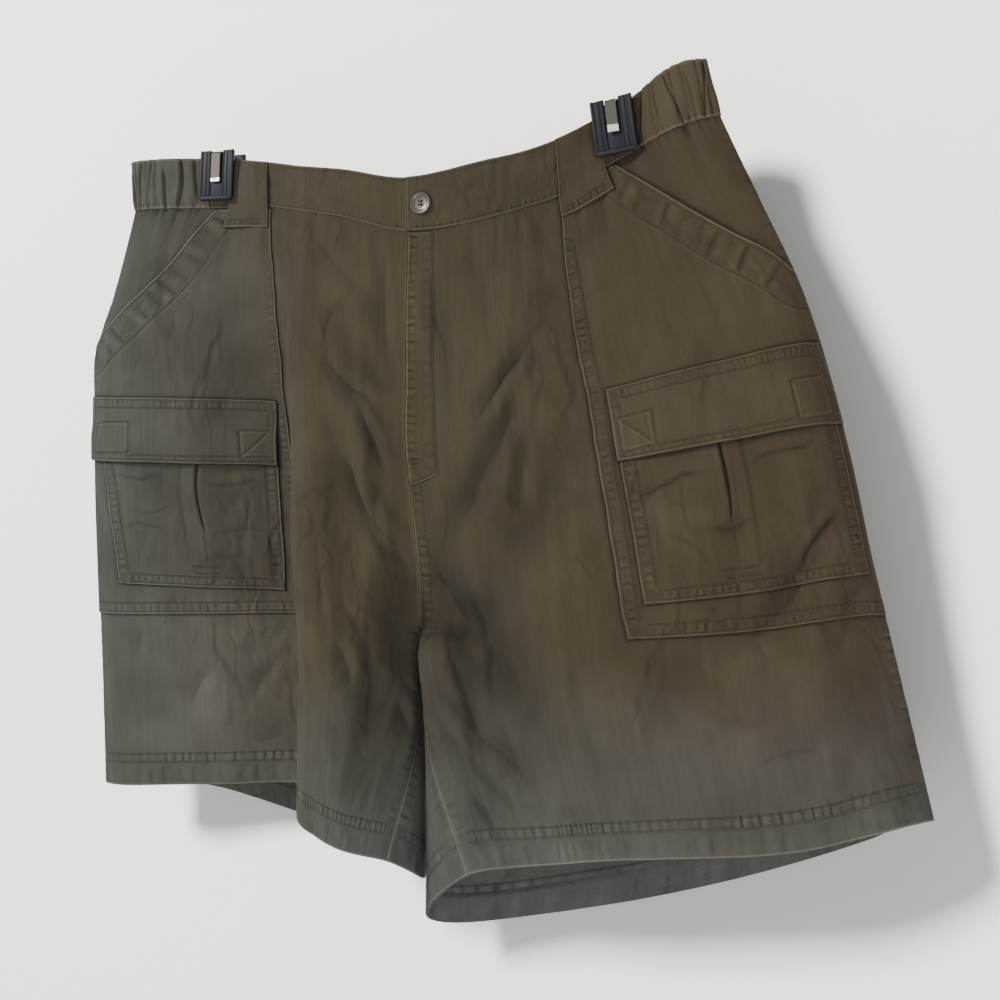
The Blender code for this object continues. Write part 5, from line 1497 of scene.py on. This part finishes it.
def make_button():
    """Four-hole button on the waistband, and the two threads over its face."""
    radius, thick = BUTTON_RADIUS * MM, BUTTON_THICK * MM
    profile = [(0, 0), (radius - 0.0008, 0), (radius - 0.0002, 0.0005), (radius, 0.0012),
               (radius - 0.0003, thick - 0.0005), (radius - 0.0008, thick),
               (radius - 0.0017, thick - 0.0001), (radius - 0.0025, thick - 0.0009),
               (radius - 0.0045, thick - 0.0012), (0, thick - 0.0012)]
    button = from_bmesh("button_turned", turned(profile, 64), horn, 40)
    button.data = drilled(button)
    s = np.array([BUTTON_STATION])
    seat = band_surface("right", s, np.array([BUTTON_HEIGHT]))[0]
    out = normals(band_surface, "right", s, np.array([0.5]))[0]
    tip = Matrix.Rotation(math.atan2(math.hypot(out[0], out[1]), out[2]), 4, "Y")
    head = Matrix.Rotation(math.atan2(out[1], out[0]), 4, "Z")
    turn = Matrix.Translation(Vector((seat + out * (BAND_OUT + 0.9)) * MM)) @ head @ tip
    button.matrix_world = turn
    declare(button, "horn", "button")
    rows = []
    for x in (-THREAD_ASIDE * MM, THREAD_ASIDE * MM):
        ends = [(x, -0.0017, thick - 0.0009), (x, 0, thick - 0.0004), (x, 0.0017, thick - 0.0009)]
        rows.append((np.array([[turn @ Vector(end) for end in ends]]) / MM, np.array([out])))
    make_stitches("button_thread", rows, "horn", 0.5)


def add_box(shape, low, high, matrix, bevel):
    """A box with rounded edges between two corners in mm, in a clip's own directions."""
    made = bmesh.ops.create_cube(shape, size=1.0)
    low, high = [c * MM for c in low], [c * MM for c in high]
    for vert in made["verts"]:
        vert.co = Vector([c * (h - l) + (h + l) / 2 for c, l, h in zip(vert.co, low, high)])
    edges = list({e for vert in made["verts"] for e in vert.link_edges})
    rim = bmesh.ops.bevel(shape, geom=edges, offset=bevel * MM, segments=3, profile=0.5, affect="EDGES")
    bmesh.ops.transform(shape, matrix=matrix, verts=list({v for f in rim["faces"] for v in f.verts}))


def make_jaw(half, side):
    """One ribbed jaw of a hanger clip, on the face of its plain solid."""
    name = f"clip_{half}_{side}_jaw"
    x, z, lean = CLIPS[half]
    tilt = math.radians(lean)
    low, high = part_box(name)
    face, near = (1, -high[1]) if side == "front" else (-1, low[1])
    frame_of = Matrix(((math.cos(tilt), 0, -math.sin(tilt)), (0, -face, 0),
                       (math.sin(tilt), 0, math.cos(tilt)))).transposed().to_4x4()
    frame_of = Matrix.Translation(Vector((x * MM, 0, z * MM))) @ frame_of
    seat, foot = near / MM, -CLIP_HEIGHT
    rim = seat + CLIP_THICK
    shape = bmesh.new()
    for low_corner, high_corner, bevel in (
            ((-16.4, seat, foot + 2), (-5.6, seat + 2.6, -0.2), 0.9),
            ((5.6, seat, foot + 2), (16.4, seat + 2.6, -0.2), 0.9),
            ((-6.0, seat, foot + 2), (6.0, seat + 1.9, -4.2), 0.4),
            ((-15.6, seat, foot), (15.6, rim + 0.3, foot + 4.4), 1.9),
            ((-16.4, seat, foot + 1.5), (-13.4, rim, -0.1), 1.2),
            ((13.4, seat, foot + 1.5), (16.4, rim, -0.1), 1.2),
            *(((rib - 0.6, seat + 0.5, foot + 4), (rib + 0.6, seat + 3.1, -1.6), 0.5)
              for rib in (-10.2, -6.8, 6.8, 10.2))):
        add_box(shape, low_corner, high_corner, frame_of, bevel)
    declare(from_bmesh(f"moulded_{name}", shape, plastic, 50), "black_plastic", name)


# ================================================================ putting it together
def on_both_sides(*makers):
    """Make the pieces of the left half, then those of the right one."""
    for n, half in enumerate(SIDES):
        for make in makers:
            make(half, n)


for make in (make_panels, make_patch, make_pocket, make_flap):
    on_both_sides(make)
on_both_sides(make_band_front, make_band_elastic, make_loop)
make_fly()
on_both_sides(make_band_back)
on_both_sides(make_loop_back)
make_button()
for half in SIDES:
    for side in ("front", "back"):
        make_jaw(half, side)
for name, slot, words in (("panels", "twill", ("cloth_front", "cloth_back")),
                          ("patches", "twill", ("patch",)),
                          ("pockets", "twill_pocket", ("pocket",)),
                          ("flaps", "twill_pocket", ("flap",)),
                          ("band", "twill_band", ("waistband", "loop")), ("fly", "twill", ("fly",))):
    sources = [key for key in rows_of if any(word in key for word in words)]
    make_stitches(f"stitches_{name}", [row for key in sources for row in rows_of[key]], slot)

worn = {"left": (0.0, 0.003), "right": (0.001, 0.006)}     # bright band of each steel strip
finishes = {"fly_zip": brass, "waistband_underlap": cloth}
for half, (low, high) in worn.items():
    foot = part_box(f"clip_{half}_spring")[0][2]
    finishes[f"clip_{half}_spring"] = dull_strip(f"steel_{half}", foot + low, foot + high)
for name, finish in finishes.items():
    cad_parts[name].data.materials.clear()
    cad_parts[name].data.materials.append(finish)


# ================================================================ camera, light and floor
CAMERA_PLACE = (0.4774, -0.9894, -0.3330)
CAMERA_TURN = 22.2           # degrees round to the right of the garment's front
CAMERA_CLIMB = 45 / 1375     # the view rises this much for its run
CAMERA_ROLL = 1.4            # degrees
CAMERA_LENS = 49.5
WALL_Y = 0.098       # the backdrop stands just behind the garment
FLOOR_Z = -1.3


def camera():
    """The photograph's view: from the right and a little below, slightly rolled."""
    turn, pitch, roll = math.radians(CAMERA_TURN), math.atan(CAMERA_CLIMB), math.radians(CAMERA_ROLL)
    right = Vector((math.cos(turn), math.sin(turn), 0))
    level = Vector((-math.sin(turn), math.cos(turn), 0))
    ahead = math.cos(pitch) * level + math.sin(pitch) * Vector((0, 0, 1))
    up = -math.sin(pitch) * level + math.cos(pitch) * Vector((0, 0, 1))
    across = math.cos(roll) * right - math.sin(roll) * up
    above = math.sin(roll) * right + math.cos(roll) * up
    data = bpy.data.cameras.new("camera")
    data.lens = CAMERA_LENS
    data.sensor_width = 36
    data.clip_start = 0.05
    made = put("camera", data)
    made.matrix_world = (Matrix.Translation(CAMERA_PLACE)
                         @ Matrix((across, above, -ahead)).transposed().to_4x4())
    bpy.context.scene.camera = made


def area_light(name, place, target, size, power, colour, wall=None, state=None):
    """Disk light; it reaches the wall alone (INCLUDE) or all but the wall (EXCLUDE)."""
    data = bpy.data.lights.new(name, "AREA")
    data.shape = "DISK"
    data.size = size
    data.energy = power
    data.color = colour
    made = put(name, data)
    made.location = place
    made.rotation_euler = (Vector(target) - Vector(place)).to_track_quat("-Z", "Y").to_euler()
    if state:
        chosen = bpy.data.collections.new(name)
        chosen.objects.link(wall)
        chosen.collection_objects[0].light_linking.link_state = state
        made.light_linking.receiver_collection = chosen


def stage_plane(name, corners, finish):
    """A plane of the studio."""
    mesh = bpy.data.meshes.new(name)
    mesh.from_pydata(corners, [], [(0, 1, 2, 3)])
    mesh.materials.append(finish)
    made = put(name, mesh)
    return made


def backdrop_material():
    """Pale wall that shows only from its front and doesn't darken what stands before it."""
    g = Graph("backdrop", Base_Color=(0.61, 0.61, 0.595, 1), Roughness=0.95)
    front = g.math("SUBTRACT", 1.0, g.node("NewGeometry").outputs["Backfacing"])
    mix = g.node("MixShader", Fac=g.times(front, g.node("LightPath").outputs["Is Camera Ray"]))
    g.feed(g.node("BsdfTransparent").outputs["BSDF"], mix.inputs[1])
    g.feed(g.shader.outputs["BSDF"], mix.inputs[2])
    g.feed(mix.outputs["Shader"], g.tree.nodes["Material Output"].inputs["Surface"])
    return g.material


def surroundings():
    """Pale floor and backdrop, an even sky and five soft lights."""
    world = bpy.data.worlds.new("studio")
    bpy.context.scene.world = world
    world.use_nodes = True
    sky = world.node_tree.nodes["Background"]
    sky.inputs["Color"].default_value = (0.93, 0.94, 0.96, 1)
    sky.inputs["Strength"].default_value = 0.72
    stage_plane("floor", [(x, y, FLOOR_Z) for x, y in ((-6, -6), (6, -6), (6, 6), (-6, 6))],
                Graph("floor", Base_Color=(0.8, 0.8, 0.775, 1), Roughness=0.9).material)
    wall = stage_plane("backdrop", [(x, WALL_Y, z) for x, z in ((-3, FLOOR_Z), (3, FLOOR_Z), (3, 2.7),
                                                                (-3, 2.7))], backdrop_material())
    area_light("key", (-1.6, -1.5, 1.1), (0.05, 0, -0.3), 0.5, 125, (1.0, 0.97, 0.93), wall, "EXCLUDE")
    area_light("fill", (1.7, -1.5, -0.4), (0.1, 0, -0.35), 1.2, 42, (0.95, 0.96, 1.0), wall, "EXCLUDE")
    area_light("low", (0.3, -1.3, -1.25), (0.15, 0.03, -0.6), 0.8, 38, (0.95, 0.97, 1.0), wall,
               "EXCLUDE")
    area_light("wall", (-1.05, -3.2, 1.5), (0.04, WALL_Y, -0.3), 0.75, 575, (1.0, 1.0, 0.98), wall,
               "INCLUDE")
    area_light("back", (0.6, 2.4, 0.9), (0, 0, -0.3), 1.6, 85, (0.97, 0.98, 1.0))


camera()
surroundings()
